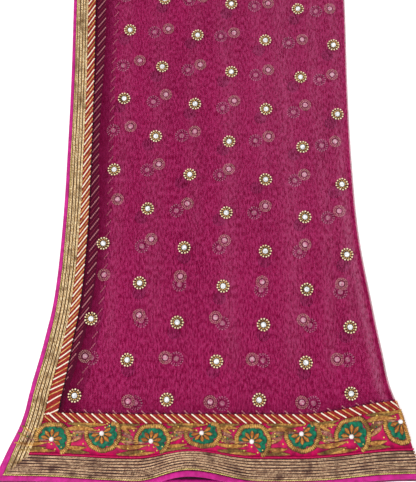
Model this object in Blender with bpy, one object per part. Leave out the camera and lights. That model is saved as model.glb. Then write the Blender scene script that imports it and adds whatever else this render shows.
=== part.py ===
"""Sheer net veil with beaded motifs and gold borders, folded twice and laid flat.

The cloth lies in four layers: it is folded once lengthwise, with that fold on the
right, and once crosswise, with that fold at the far end. The top layer is a wall of
its own and carries the borders. The three layers under it are one rounded solid.
Sizes are in millimetres until a mesh is written, which is in metres.
"""
import math
from collections import namedtuple

import bmesh
import bpy
from mathutils import Vector
from mathutils.geometry import delaunay_2d_cdt

# Driving sizes
METRES = 0.001
FOLDED_LENGTH = 1100.0
STACK = 10.0
PAIR = 3.6
NET_WALL = 1.0
SEAM = 0.3
EDGE_DROP = 3.5
EDGE_DROP_REACH = 36.0
CENTRE_X = 1.47
CENTRE_Y = 548.82

# The fold at the far end turns round a level axis in the middle of the stack
FAR_CENTRE = STACK / 2
FAR_RADIUS = STACK / 2 - PAIR / 2
FAR_START = FOLDED_LENGTH - STACK / 2
FAR_SPAN = 16.0
FOLD_SPAN = 0.015
NOMINAL_WIDTH = 400.0

# Outline of the top layer. Each row is a section across the cloth: its distance from
# the hem, its left and right edges, the middle and the pitch of the motif columns,
# how far the rows lean, and how wide the side border lies there.
Section = namedtuple("Section", "from_hem left right column pitch lean border")
SECTIONS = (
    Section(0.0, -241.0, 243.0, 1.0, 111.0, 0.0, 1.10),
    Section(30.0, -230.0, 234.5, 3.0, 110.0, 0.0, 1.10),
    Section(65.0, -217.0, 223.5, 4.5, 108.5, 0.0, 1.08),
    Section(100.0, -207.5, 212.5, 6.0, 107.0, 0.004, 1.06),
    Section(150.0, -195.5, 206.5, 11.0, 104.5, 0.018, 1.04),
    Section(210.0, -185.0, 198.0, 17.0, 101.5, 0.035, 1.02),
    Section(300.0, -179.5, 186.0, 21.5, 98.0, 0.050, 1.00),
    Section(400.0, -178.0, 181.5, 26.0, 93.5, 0.075, 0.97),
    Section(500.0, -178.0, 181.0, 30.0, 90.0, 0.080, 0.95),
    Section(620.0, -180.0, 183.0, 31.0, 88.5, 0.080, 0.94),
    Section(860.0, -181.0, 184.0, 31.0, 88.5, 0.040, 0.94),
    Section(1100.0, -181.0, 184.0, 31.0, 88.5, 0.0, 0.94),
)

# Widths of what is sewn along the side edge and along the hem, from the edge inwards
Band = namedtuple("Band", "start end")
SIDE_PIPING = Band(0.0, 5.0)
SIDE_ZARI = Band(5.3, 22.0)
SIDE_RIBBON = Band(22.3, 34.0)
HEM_PIPING = Band(0.0, 6.0)
HEM_ZARI = Band(6.3, 30.0)
HEM_CORD = Band(30.3, 32.7)
HEM_EMBROIDERY = Band(33.0, 69.0)
HEM_RIBBON = Band(69.3, 79.0)

# The side ribbon is narrower than its band, save near the hem
RIBBON_NARROW = 0.8
RIBBON_WIDENS = 0.3
RIBBON_WIDE_TO = 170.0
RIBBON_WIDE_SPAN = 90.0
SIDE_RAILS = (SIDE_ZARI.end + SEAM / 2, SIDE_RIBBON.end + SEAM / 2)

# The hem is buckled up in a low arch left of its middle
ARCH_HEIGHT = 29.0
ARCH_CREST = -21.0
ARCH_LEFT = 62.0
ARCH_RIGHT = 78.0
ARCH_REACH = 95.0
ARCH_PULL = 14.0
ARCH_PULL_REACH = 66.0
ARCH_PULL_SPAN = 60.0
ARCH_FOOT = 0.001
UNDER_SHARE = 0.55

# The hem runs back a little at its right and left ends
RIGHT_RISE_START = 105.0
RIGHT_RISE_SPAN = 125.0
LEFT_RISE_START = 80.0
LEFT_RISE_SPAN = 130.0
Rise = namedtuple("Rise", "from_hem height")
RIGHT_RISES = (Rise(0.0, 8.0), Rise(31.0, 9.0), Rise(72.0, 15.5), Rise(84.0, 16.0), Rise(185.0, 0.0))
LEFT_RISES = (Rise(0.0, 6.0), Rise(31.0, 4.5), Rise(68.0, 2.0), Rise(80.0, 2.0), Rise(96.0, 7.0),
              Rise(200.0, 3.0), Rise(380.0, 0.0))

# Round motifs in half-drop rows: rings of points from the rim to the stone's foot
MOTIF_FIRST_ROW = 95.5
MOTIF_ROW_PITCH = 43.8
MOTIF_ROW_GROWTH = 0.28
MOTIF_ROWS = 20
MOTIF_CLEARANCE = 12.0
MOTIF_STONE_TOP = 3.0
Ring = namedtuple("Ring", "radius raised points")
MOTIF_RINGS = (Ring(8.6, 0.0, 8), Ring(7.4, 1.5, 8), Ring(3.4, 1.0, 6))

# Half flowers along the embroidered band, facing up and down in turn
FLOWER_FIRST = -179.0
FLOWER_PITCH = 57.2
FLOWER_COUNT = 7
FLOWER_LOW = 49.0
FLOWER_HIGH = 57.5
PETAL_COUNT = 5
PETAL_REACH = 15.3
PETAL_NOTCH = 13.0
PETAL_MARGIN = 0.8
PETAL_RAISED = 1.2
PEARL_RADIUS = 3.4
PEARL_RAISED = 3.2
GROUND_ROWS = (42.0, 51.0, 60.0)
FLOWER_CLEARANCE = 2.0
LEAF_LENGTH = 12.5
LEAF_WIDTH = 6.5
LEAF_RAISED = 1.0
LEAF_GAP = 1.6
LEAF_STEPS = 4
LEAF_BLUNT = 0.12

# Wall heights over the net's outer face, for what is sewn on it
SEWN_SEAT = 0.4
SEWN_TOP = 1.5
RIB_DEPTH = 0.6
SIDE_RIBS = 4
END_RIBS = 6
STRIPE_REPEAT = 16.0
STRIPE_FAN = 3.0
CREAM_RAISED = 0.8
GOLD_RAISED = 0.4

# Rows and columns that every piece shares
NEAR_ROW_STEP = 20.0
NEAR_ROW_LAST = 320.0
FAR_ROW_COUNT = 14
ROWS_NEAR = tuple(NEAR_ROW_STEP * step for step in range(6, 17))
ROWS_FAR = tuple(NEAR_ROW_LAST + (FAR_START - NEAR_ROW_LAST) * step / FAR_ROW_COUNT
                 for step in range(1, FAR_ROW_COUNT + 1))
FAR_TURNS = (30.0, 60.0, 90.0, 120.0)
FAR_TURNS_UNDER = (150.0, 180.0)
FOLD_TURNS = (0.0, 45.0, 90.0, 135.0, 180.0)
HEM_ROWS = (9.0, 18.0, 31.5, 38.0, 44.0, 50.0, 60.0, 69.15, 83.0, 101.0)
NET_OUTER_HEM_ROWS = HEM_ROWS[:9]
BAND_BENDS = HEM_ROWS[3:7]
MITRED_ROWS = 2
NET_INNER_HEM_ROWS = (18.0, 31.5, 44.0, 60.0, 83.0)
FAR_SHARES = (0.25, 0.5, 0.75)
MERGE_DISTANCE = 1e-4
Stretch = namedtuple("Stretch", "first last step")
HEM_STRETCHES = (
    Stretch(-168.0, -102.0, 22.0),
    Stretch(-88.0, 60.0, 8.0),
    Stretch(78.0, 106.0, 16.0),
    Stretch(118.0, 232.0, 12.0),
)


def smooth_step(value):
    """Soft ramp from 0 to 1."""
    value = min(1.0, max(0.0, value))
    return value * value * (3.0 - 2.0 * value)


def along(rows, column, at):
    """One column of a table at a distance from the hem, on a smooth curve through its rows."""
    places = [row.from_hem for row in rows]
    values = [getattr(row, column) for row in rows]
    if at <= places[0]:
        slope = (values[1] - values[0]) / (places[1] - places[0])
        return values[0] + slope * (at - places[0])
    if at >= places[-1]:
        return values[-1]
    index = max(i for i, place in enumerate(places) if place <= at)
    index = min(index, len(rows) - 2)
    span = places[index + 1] - places[index]
    share = (at - places[index]) / span

    def slope_at(i):
        low = max(0, i - 1)
        high = min(len(rows) - 1, i + 1)
        return (values[high] - values[low]) / (places[high] - places[low])

    start_slope = slope_at(index) * span
    end_slope = slope_at(index + 1) * span
    square = share * share
    cube = square * share
    return (
        (2 * cube - 3 * square + 1) * values[index]
        + (cube - 2 * square + share) * start_slope
        + (3 * square - 2 * cube) * values[index + 1]
        + (cube - square) * end_slope
    )


def border_scale(from_hem):
    """How a width square to the side edge measures along X."""
    step = 2.0
    change = along(SECTIONS, "left", from_hem + step) - along(SECTIONS, "left", from_hem - step)
    return along(SECTIONS, "border", from_hem) * math.hypot(1.0, change / (2 * step))


def panel_left(from_hem):
    """X of the net's own left edge, behind the piping."""
    return along(SECTIONS, "left", from_hem) + SIDE_ZARI.start * border_scale(from_hem)


def panel_right(from_hem):
    """X where the net starts to turn down at the fold."""
    return along(SECTIONS, "right", from_hem) - PAIR / 2


def taken_in(across, from_hem):
    """A place across the side border, with the ribbon narrower away from the hem."""
    share = RIBBON_NARROW + RIBBON_WIDENS * smooth_step((RIBBON_WIDE_TO - from_hem) / RIBBON_WIDE_SPAN)
    return min(across, SIDE_RIBBON.start) + max(0.0, across - SIDE_RIBBON.start) * share


def from_border(across, from_hem):
    """Share of the panel's width at a distance in from the side edge."""
    flat = min(from_hem, FAR_START)
    across = taken_in(across, flat)
    left = along(SECTIONS, "left", flat) + across * border_scale(flat)
    return (left - panel_left(flat)) / (panel_right(flat) - panel_left(flat))


def from_plan(x, from_hem):
    """Share of the panel's width at a plan X."""
    return (x - panel_left(from_hem)) / (panel_right(from_hem) - panel_left(from_hem))


def arch(x, from_hem):
    """Height of the hem's arch, as a share of its crest."""
    side = ARCH_LEFT if x < ARCH_CREST else ARCH_RIGHT
    across = min(1.0, abs(x - ARCH_CREST) / side)
    inward = max(0.0, 1.0 - max(0.0, from_hem) / ARCH_REACH)
    return math.cos(across * math.pi / 2) ** 2 * inward ** 1.5


def arch_pull(x, from_hem, lifted=1.0):
    """How far the arch draws a row back, in plan."""
    inward = smooth_step((ARCH_PULL_REACH - from_hem) / ARCH_PULL_SPAN)
    return ARCH_PULL * arch(x, 0.0) * inward * lifted ** 2


def rise_at(rises, from_hem):
    """How far one end of a row has risen, at its distance from the hem."""
    if from_hem < 0.0:
        return rises[0].height
    for low, high in zip(rises, rises[1:]):
        if low.from_hem <= from_hem < high.from_hem:
            share = (from_hem - low.from_hem) / (high.from_hem - low.from_hem)
            return low.height + (high.height - low.height) * smooth_step(share)
    return 0.0


def run_back(x, from_hem):
    """How far a row lies behind its distance from the hem, in plan."""
    lean = -along(SECTIONS, "lean", from_hem) * x
    right = rise_at(RIGHT_RISES, from_hem) * smooth_step((x - RIGHT_RISE_START) / RIGHT_RISE_SPAN)
    left = rise_at(LEFT_RISES, from_hem) * smooth_step((-x - LEFT_RISE_START) / LEFT_RISE_SPAN)
    return lean + right + left


def drop(x, from_hem):
    """How far the cloth sinks towards the surface near its side edge."""
    inside = (x - along(SECTIONS, "left", from_hem)) / border_scale(from_hem)
    return EDGE_DROP * max(0.0, 1.0 - max(0.0, inside) / EDGE_DROP_REACH) ** 2


def sheet_point(share, distance, height=0.0, arch_share=1.0):
    """Point on the top layer's outer face, or a layer under it that follows it."""
    flat = min(distance, FAR_START)
    fold_turn = max(0.0, share - 1.0) / FOLD_SPAN * math.pi
    far_turn = max(0.0, distance - FAR_START) / FAR_SPAN * math.pi
    reach = PAIR / 2 + height
    left = panel_left(flat)
    width = panel_right(flat) - left
    x = left + min(share, 1.0) * width + reach * math.sin(fold_turn)
    radius = FAR_RADIUS + reach * math.cos(fold_turn)
    lift = arch(x, flat) * arch_share
    sunk = drop(x, flat) * (1.0 - far_turn / math.pi)
    y = flat + run_back(x, flat) + arch_pull(x, flat, arch_share) + radius * math.sin(far_turn)
    z = FAR_CENTRE + radius * math.cos(far_turn) + ARCH_HEIGHT * lift - sunk
    return Vector((x, y, z))


def place(share, distance, outwards, arch_share=1.0):
    """Point over the top layer's outer face, measured square to it."""
    step_share = 0.0004
    step_distance = 0.2
    here = sheet_point(share, distance, 0.0, arch_share)
    across = (sheet_point(share + step_share, distance, 0.0, arch_share)
              - sheet_point(share - step_share, distance, 0.0, arch_share))
    inward = (sheet_point(share, distance + step_distance, 0.0, arch_share)
              - sheet_point(share, distance - step_distance, 0.0, arch_share))
    normal = across.cross(inward).normalized()
    return here + normal * outwards


def far_rows(turns):
    """Distances of the rows that turn round the far fold."""
    return tuple(FAR_START + FAR_SPAN * turn / 180.0 for turn in turns)


def fold_columns():
    """Shares of the columns that turn round the fold on the right."""
    return tuple(1.0 + FOLD_SPAN * turn / 180.0 for turn in FOLD_TURNS)


def hem_columns():
    """Shares of the columns that the pieces along the hem have in common."""
    shares = []
    for stretch in HEM_STRETCHES:
        x = stretch.first
        while x <= stretch.last + 0.01:
            shares.append(from_plan(x, 0.0))
            x += stretch.step
    return tuple(shares)


def material(name, red, green, blue, roughness, metallic=0.0):
    """Plain finish of one piece."""
    finish = bpy.data.materials.new(name)
    finish.use_nodes = True
    shader = finish.node_tree.nodes["Principled BSDF"]
    shader.inputs["Base Color"].default_value = (red, green, blue, 1.0)
    shader.inputs["Roughness"].default_value = roughness
    shader.inputs["Metallic"].default_value = metallic
    return finish


def make_object(name, mesh_maker, finish, smooth_angle=40.0):
    """Closed solid in metres, centred on the part's origin."""
    bmesh.ops.triangulate(mesh_maker, faces=mesh_maker.faces[:])
    bmesh.ops.recalc_face_normals(mesh_maker, faces=mesh_maker.faces[:])
    for vertex in mesh_maker.verts:
        vertex.co = (vertex.co - Vector((CENTRE_X, CENTRE_Y, 0.0))) * METRES
    mesh = bpy.data.meshes.new(name)
    mesh_maker.to_mesh(mesh)
    mesh_maker.free()
    mesh.shade_smooth()
    mesh.set_sharp_from_angle(angle=math.radians(smooth_angle))
    mesh.materials.append(finish)
    solid = bpy.data.objects.new(name, mesh)
    bpy.context.collection.objects.link(solid)
    return solid


class Plan:
    """Points of one face of a wall, laid out flat, with the lines that must stay."""

    def __init__(self):
        self.points = []
        self.index = {}
        self.lines = []

    def add(self, share, distance, raised=0.0):
        key = (round(share * NOMINAL_WIDTH, 2), round(distance, 2))
        if key not in self.index:
            self.index[key] = len(self.points)
            self.points.append((share, distance, raised))
        return self.index[key]

    def line(self, indices):
        self.lines.extend((a, b) for a, b in zip(indices, indices[1:]) if a != b)

    def loop(self, indices):
        self.line(list(indices) + [indices[0]])

    def faces(self, outline):
        flat = [Vector((share * NOMINAL_WIDTH, distance)) for share, distance, _ in self.points]
        result = delaunay_2d_cdt(flat, self.lines, [outline], 1, MERGE_DISTANCE)
        sources = [origin[0] for origin in result[3]]
        return [[sources[corner] for corner in face] for face in result[2]]


def wall(name, finish, outline, outer, inner, outer_height, inner_height, smooth_angle=40.0):
    """Closed wall between two faces that share their outline."""
    maker = bmesh.new()
    rim = {}
    for side, plan, base in (("outer", outer, outer_height), ("inner", inner, inner_height)):
        ring = [plan.add(share, distance) for share, distance in outline]
        corners = [maker.verts.new(place(share, distance, base + raised))
                   for share, distance, raised in plan.points]
        rim[side] = [corners[index] for index in ring]
        for face in plan.faces(ring):
            maker.faces.new([corners[index] for index in face])
    count = len(outline)
    for index in range(count):
        follow = (index + 1) % count
        maker.faces.new((rim["outer"][index], rim["inner"][index],
                         rim["inner"][follow], rim["outer"][follow]))
    maker.normal_update()
    return make_object(name, maker, finish, smooth_angle)


# A rail is a line along a strip: its place across the strip and its height. A station is a
# line across the strip: where it meets the first and the last rail, how far it is raised,
# and whether the plain underside has a line there too.
Rail = namedtuple("Rail", "across height")
Station = namedtuple("Station", "first last raised seated")


def strip(name, finish, rails, stations, point, seat):
    """Closed strip with shaped top and plain underside, along the side edge or the hem."""
    maker = bmesh.new()
    start = rails[0].across
    width = rails[-1].across - start

    def corner(rail, station, height):
        share = (rail.across - start) / width
        return point(rail.across, station.first + share * (station.last - station.first), height)

    top = [[maker.verts.new(corner(rail, station, rail.height + station.raised)) for rail in rails]
           for station in stations]
    seated = [index for index, station in enumerate(stations) if station.seated]
    under = {index: [maker.verts.new(corner(rail, stations[index], seat)) for rail in (rails[0], rails[-1])]
             for index in seated}
    for near, far in zip(top, top[1:]):
        for index in range(len(rails) - 1):
            maker.faces.new((near[index], near[index + 1], far[index + 1], far[index]))
    for near, far in zip(seated, seated[1:]):
        maker.faces.new((under[near][1], under[near][0], under[far][0], under[far][1]))
        first_edge = [top[index][0] for index in range(near, far + 1)]
        last_edge = [top[index][-1] for index in range(near, far + 1)]
        maker.faces.new(first_edge + [under[far][0], under[near][0]])
        maker.faces.new(last_edge + [under[far][1], under[near][1]])
    maker.faces.new(top[0] + [under[0][1], under[0][0]])
    maker.faces.new(top[-1] + [under[seated[-1]][1], under[seated[-1]][0]])
    return make_object(name, maker, finish)


def on_side(across, distance, height):
    """Point on a strip that runs along the side edge."""
    return place(from_border(across, distance), distance, height)


def on_hem(across, share, height):
    """Point on a strip that runs along the hem."""
    return place(share, across, height)


def ribbed_rails(band, ribs, top, depth):
    """Rails of a band woven in ribs, from one edge to the other."""
    pitch = (band.end - band.start) / ribs
    rails = []
    for rib in range(ribs):
        rails.append(Rail(band.start + rib * pitch, top - depth))
        rails.append(Rail(band.start + (rib + 0.5) * pitch, top))
    rails.append(Rail(band.end, top - depth))
    return rails


def straight(value, raised=0.0, seated=True):
    """Station that meets both edges of its strip at the same place."""
    return Station(value, value, raised, seated)


def hem_stations(band, start_across):
    """Stations of a straight strip along the hem, from the side border round the fold."""
    stations = [Station(from_border(across, band.start), from_border(across, band.end), 0.0, True)
                for across in (start_across, SIDE_RAILS[-1])]
    return stations + [straight(share) for share in hem_columns() + fold_columns()]


def side_distances():
    """Rows that the pieces along the side edge have in common, over the far fold."""
    return ROWS_NEAR + ROWS_FAR + far_rows(FAR_TURNS)


def make_net_top(finish):
    """Top stretch of the net with its raised motifs, turned down at both folds."""
    hem = HEM_ZARI.start
    rows = HEM_ROWS + ROWS_NEAR + ROWS_FAR + far_rows(FAR_TURNS + FAR_TURNS_UNDER)
    columns = hem_columns()
    folds = fold_columns()
    end_row = rows[-1]
    outline = [(0.0, hem)]
    outline += [(from_border(rail, hem), hem) for rail in SIDE_RAILS]
    outline += [(share, hem) for share in columns]
    outline += [(share, hem) for share in folds]
    outline += [(folds[-1], row) for row in rows]
    outline += [(share, end_row) for share in reversed(folds[:-1])]
    outline += [(share, end_row) for share in reversed(FAR_SHARES)]
    outline += [(from_border(rail, end_row), end_row) for rail in reversed(SIDE_RAILS)]
    outline += [(0.0, row) for row in reversed(rows)]

    def lay_out(hem_rows):
        plan = Plan()
        for row in (hem,) + rows:
            plan.line([plan.add(share, row) for share in folds])
            rails = [plan.add(0.0, row)] + [plan.add(from_border(rail, row), row) for rail in SIDE_RAILS]
            plan.line(rails)
            if row >= FAR_START:
                middle = [plan.add(share, row) for share in FAR_SHARES]
                plan.line([rails[-1]] + middle + [plan.add(folds[0], row)])
        for share in folds:
            plan.line([plan.add(share, row) for row in (hem,) + rows])
        for rail in SIDE_RAILS:
            plan.line([plan.add(from_border(rail, row), row) for row in (hem,) + rows])
        for share in columns:
            plan.line([plan.add(share, row) for row in (hem,) + hem_rows])
        return plan

    outer = lay_out(NET_OUTER_HEM_ROWS)
    inner = lay_out(NET_INNER_HEM_ROWS)
    for motif in motif_places():
        add_motif(outer, *motif)
    return wall("net_top", finish, outline, outer, inner, 0.0, -NET_WALL)


def motif_places():
    """Middles of the motifs as plan X and distance from the hem, in half-drop rows."""
    places = []
    for row in range(MOTIF_ROWS):
        distance = MOTIF_FIRST_ROW + MOTIF_ROW_PITCH * row + MOTIF_ROW_GROWTH * row * row
        inside = along(SECTIONS, "left", distance) + SIDE_RIBBON.end * border_scale(distance)
        middle = along(SECTIONS, "column", distance)
        pitch = along(SECTIONS, "pitch", distance)
        shift = 0.5 if row % 2 == 0 else 0.0
        for column in range(-3, 4):
            x = middle + (column + shift) * pitch
            if inside + MOTIF_CLEARANCE < x < panel_right(distance) - MOTIF_CLEARANCE:
                places.append((x, distance))
    return places


def add_motif(plan, x, distance):
    """Rings of one raised motif, round a domed stone."""
    for ring in MOTIF_RINGS:
        indices = []
        for step in range(ring.points):
            angle = 2 * math.pi * (step + 0.5) / ring.points
            share = from_plan(x + ring.radius * math.cos(angle), distance)
            indices.append(plan.add(share, distance + ring.radius * math.sin(angle), ring.raised))
        plan.loop(indices)
    plan.add(from_plan(x, distance), distance, MOTIF_STONE_TOP)


# A rim is a closed line round the hidden layers, at one height: how far in it lies at the
# side edge, the hem and the fold, how much deeper it goes under the arch, and its share of
# the arch's lift.
Rim = namedtuple("Rim", "height side hem fold under lifted")
RIMS = (
    Rim(0.0, 7.0, -2.6, -0.6, 0.0, 0.0),
    Rim(0.9, 5.2, -4.0, -1.6, 0.0, 0.0),
    Rim(1.8, 8.0, -0.5, -1.8, 0.0, 0.0),
    Rim(2.7, 6.0, -2.2, -1.6, 0.0, 0.0),
    Rim(3.6, 7.5, -0.8, -0.6, 0.0, 0.0),
    Rim(3.8, 16.0, 12.0, 9.0, 52.0, 0.0),
    Rim(6.2, 16.0, 12.0, 9.0, 52.0, UNDER_SHARE),
    Rim(6.5, 7.5, 7.0, 0.3, 0.0, UNDER_SHARE),
    Rim(7.6, 6.0, 6.3, 0.3, 0.0, UNDER_SHARE),
    Rim(STACK - NET_WALL - SEAM, 7.5, 7.0, 0.3, 0.0, UNDER_SHARE),
)

# At the far fold the hidden layers turn with this radius above a short step, and leave a
# notch at the right end so that they stay inside the top layer's own turn.
UNDER_TURN = 3.6
UNDER_STEP = 2.0
UNDER_END = 0.4
UNDER_FAR_SHARES = (0.66, 0.33, 0.0)
NOTCH = 1.0


def make_net_under(finish):
    """Three hidden layers as one solid, layered at its free edges and flat underneath."""
    maker = bmesh.new()
    columns = hem_columns()
    rows = HEM_ROWS + ROWS_NEAR + ROWS_FAR[:-1]
    top_height = RIMS[-1].height

    def raise_to(x, distance, rim):
        sunk = drop(x, distance) / top_height
        return rim.height * (1.0 - sunk) + ARCH_HEIGHT * rim.lifted * arch(x, distance)

    def point(x, distance, rim, beyond=0.0):
        y = distance + run_back(x, distance) + arch_pull(x, distance, rim.lifted) + beyond
        return Vector((x, y, raise_to(x, distance, rim)))

    def left_of(rim, distance):
        flat = min(distance, FAR_START)
        return along(SECTIONS, "left", flat) + rim.side * border_scale(flat)

    def rim_line(rim):
        depth = abs(rim.height - FAR_CENTRE)
        turned = math.sqrt(max(0.0, UNDER_TURN ** 2 - depth ** 2)) if depth < UNDER_TURN else 0.0
        beyond = turned if rim.height > UNDER_STEP else -UNDER_END
        line = [point(left_of(rim, row), row, rim) for row in reversed(rows)]
        flat = [(left_of(rim, row), row) for row in reversed(rows)]
        spots = [(left_of(rim, rim.hem), rim.hem)]
        for share in columns:
            x = panel_left(0.0) + share * (panel_right(0.0) - panel_left(0.0))
            distance = rim.hem + rim.under * arch(x, 0.0)
            spots.append((panel_left(distance) + share * (panel_right(distance) - panel_left(distance)),
                          distance))
        spots.append((panel_right(rim.hem) - rim.fold, rim.hem))
        spots += [(panel_right(row) - rim.fold, row) for row in rows]
        flat += spots
        line += [point(x, distance, rim) for x, distance in spots]
        notch_x = panel_right(FAR_START) - NOTCH
        last = FAR_START
        step_x = notch_x - max(0.0, rim.fold - NOTCH) / 2
        far_spots = [(panel_right(last) - rim.fold, -NOTCH), (step_x, -NOTCH), (notch_x, beyond)]
        sunk_end = along(SECTIONS, "left", last) + EDGE_DROP_REACH * border_scale(last)
        sunk_middle = along(SECTIONS, "left", last) + SIDE_RAILS[0] * border_scale(last)
        far_spots += [(share * notch_x + (1 - share) * sunk_end, beyond) for share in UNDER_FAR_SHARES]
        far_spots += [(sunk_middle, beyond), (left_of(rim, last), beyond)]
        flat += [(x, last + more) for x, more in far_spots]
        line += [point(x, last, rim, more) for x, more in far_spots]
        return line, flat

    rings = []
    plans = []
    for rim in RIMS:
        line, flat = rim_line(rim)
        rings.append([maker.verts.new(corner) for corner in line])
        plans.append(flat)
    for low, high in zip(rings, rings[1:]):
        count = len(low)
        for index in range(count):
            follow = (index + 1) % count
            maker.faces.new((low[index], low[follow], high[follow], high[index]))
    for which, rim in ((0, RIMS[0]), (-1, RIMS[-1])):
        close_layers(maker, rings[which], plans[which], rim, columns, point)
    return make_object("net_under", maker, finish)


def close_layers(maker, ring, flat, rim, columns, point):
    """Close the hidden layers above or below, following the arch on the top."""
    corners = list(ring)
    spots = [Vector(spot) for spot in flat]
    if rim.lifted > 0.0:
        for row in HEM_ROWS:
            for share in columns:
                x = panel_left(row) + share * (panel_right(row) - panel_left(row))
                if arch(x, 0.0) > ARCH_FOOT:
                    spots.append(Vector((x, row)))
                    corners.append(maker.verts.new(point(x, row, rim)))
        for row in ROWS_NEAR + ROWS_FAR[:-1]:
            x = along(SECTIONS, "left", row) + EDGE_DROP_REACH * border_scale(row)
            spots.append(Vector((x, row)))
            corners.append(maker.verts.new(point(x, row, rim)))
    result = delaunay_2d_cdt(spots, [], [list(range(len(flat)))], 1, MERGE_DISTANCE)
    sources = [origin[0] for origin in result[3]]
    for face in result[2]:
        maker.faces.new([corners[sources[corner]] for corner in face])


# Profile of the piping: its place across its own width, as a share, and its height
PIPING_PROFILE = (
    Rail(0.0, 0.0), Rail(0.2, 0.9), Rail(0.8, 0.9), Rail(1.0, 0.0), Rail(0.8, -1.1), Rail(0.2, -1.1),
)
UNDER_PIPING_LOWER = 2.3
UNDER_PIPING = Band(0.8, 6.0)
UNDER_PIPING_LAST = 0.998
PAST_MITRE = 2.0


def tube(name, finish, rings):
    """Closed tube through rings of the same number of points."""
    maker = bmesh.new()
    loops = [[maker.verts.new(corner) for corner in ring] for ring in rings]
    for near, far in zip(loops, loops[1:]):
        count = len(near)
        for index in range(count):
            follow = (index + 1) % count
            maker.faces.new((near[index], near[follow], far[follow], far[index]))
    maker.faces.new(loops[0])
    maker.faces.new(loops[-1])
    return make_object(name, maker, finish)


def make_piping(finish):
    """Silk piping down the side edge, round the corner and along the hem."""
    rings = []

    def side_ring(distance):
        return [on_side(SIDE_PIPING.end * rail.across, distance, rail.height) for rail in PIPING_PROFILE]

    for distance in reversed(HEM_ROWS + side_distances()):
        rings.append(side_ring(distance))
    corner = []
    for rail in PIPING_PROFILE:
        distance = HEM_PIPING.end * rail.across
        corner.append(on_side(SIDE_PIPING.end * rail.across, distance, rail.height))
    rings.append(corner)
    inner = tuple(from_border(across, HEM_PIPING.end) for across in SIDE_RAILS)
    for share in inner + hem_columns() + fold_columns():
        rings.append([place(share, HEM_PIPING.end * rail.across, rail.height) for rail in PIPING_PROFILE])
    return tube("piping", finish, rings)


def make_under_piping(finish):
    """Piping on the second layer's hem, seen under the arch."""
    width = UNDER_PIPING.end - UNDER_PIPING.start
    rings = []
    inner = tuple(from_border(across, UNDER_PIPING.end) for across in SIDE_RAILS)
    for share in inner + hem_columns() + (UNDER_PIPING_LAST,):
        ring = []
        for rail in PIPING_PROFILE:
            distance = UNDER_PIPING.start + width * rail.across
            ring.append(place(share, distance, rail.height - UNDER_PIPING_LOWER, UNDER_SHARE))
        rings.append(ring)
    return tube("under_piping", finish, rings)


def make_side_zari(finish):
    """Ribbed gold band down the side edge, mitred at the corner."""
    rails = ribbed_rails(SIDE_ZARI, SIDE_RIBS, SEWN_TOP, RIB_DEPTH)
    stations = [Station(HEM_ZARI.start + SEAM, HEM_ZARI.end + SEAM, 0.0, True)]
    stations += [straight(distance) for distance in HEM_ROWS[MITRED_ROWS:] + side_distances()]
    return strip("side_zari", finish, rails, stations, on_side, SEWN_SEAT)


def make_end_zari(finish):
    """Ribbed gold band along the hem, mitred at the corner and turned round the fold."""
    rails = ribbed_rails(HEM_ZARI, END_RIBS, SEWN_TOP, RIB_DEPTH)
    mitre = Station(from_border(SIDE_ZARI.start + SEAM, HEM_ZARI.start),
                    from_border(SIDE_ZARI.end + SEAM, HEM_ZARI.end), 0.0, True)
    inside = Station(from_border(SIDE_RAILS[0], HEM_ZARI.start),
                     from_border(SIDE_RAILS[0] + PAST_MITRE, HEM_ZARI.end), 0.0, True)
    stations = [mitre, inside] + hem_stations(HEM_ZARI, SIDE_ZARI.end)[1:]
    return strip("end_zari", finish, rails, stations, on_hem, SEWN_SEAT)


def make_end_cord(finish):
    """Thin raised cord between the gold band and the embroidery."""
    middle = (HEM_CORD.start + HEM_CORD.end) / 2
    rails = (Rail(HEM_CORD.start, SEWN_TOP - RIB_DEPTH), Rail(middle, SEWN_TOP + RIB_DEPTH),
             Rail(HEM_CORD.end, SEWN_TOP - RIB_DEPTH))
    stations = hem_stations(HEM_CORD, SIDE_RIBBON.start)
    return strip("end_cord", finish, rails, stations, on_hem, SEWN_SEAT)


def striped_stations(first, last, start_slant, slant, end_slant, scale):
    """Stations of slanted raised stripes between two ends, fanning out near each end."""
    repeat = STRIPE_REPEAT * scale
    count = int((last - first) / repeat)
    step = (last - first) / count
    stations = []
    for index in range(4 * count + 1):
        at = first + step * index / 4
        from_start = index / 4
        to_end = count - index / 4
        lean = slant
        if from_start < STRIPE_FAN:
            lean = start_slant + (slant - start_slant) * smooth_step(from_start / STRIPE_FAN)
        if to_end < STRIPE_FAN:
            lean = end_slant + (slant - end_slant) * smooth_step(to_end / STRIPE_FAN)
        raised = (0.0, CREAM_RAISED, 0.0, GOLD_RAISED)[index % 4]
        stations.append(Station(at, at + lean, raised, index % 4 == 0))
    return stations


def make_side_ribbon(finish):
    """Diagonally striped ribbon down the side, mitred to the one along the hem."""
    width = SIDE_RIBBON.end - SIDE_RIBBON.start
    rise = HEM_RIBBON.end - HEM_RIBBON.start
    rails = (Rail(SIDE_RIBBON.start, SEWN_TOP - RIB_DEPTH), Rail(SIDE_RIBBON.end, SEWN_TOP - RIB_DEPTH))
    stations = striped_stations(HEM_RIBBON.start + SEAM, FAR_START, rise, width, 0.0, 1.0)
    stations += [straight(distance) for distance in far_rows(FAR_TURNS)]
    return strip("side_ribbon", finish, rails, stations, on_side, SEWN_SEAT)


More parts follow.
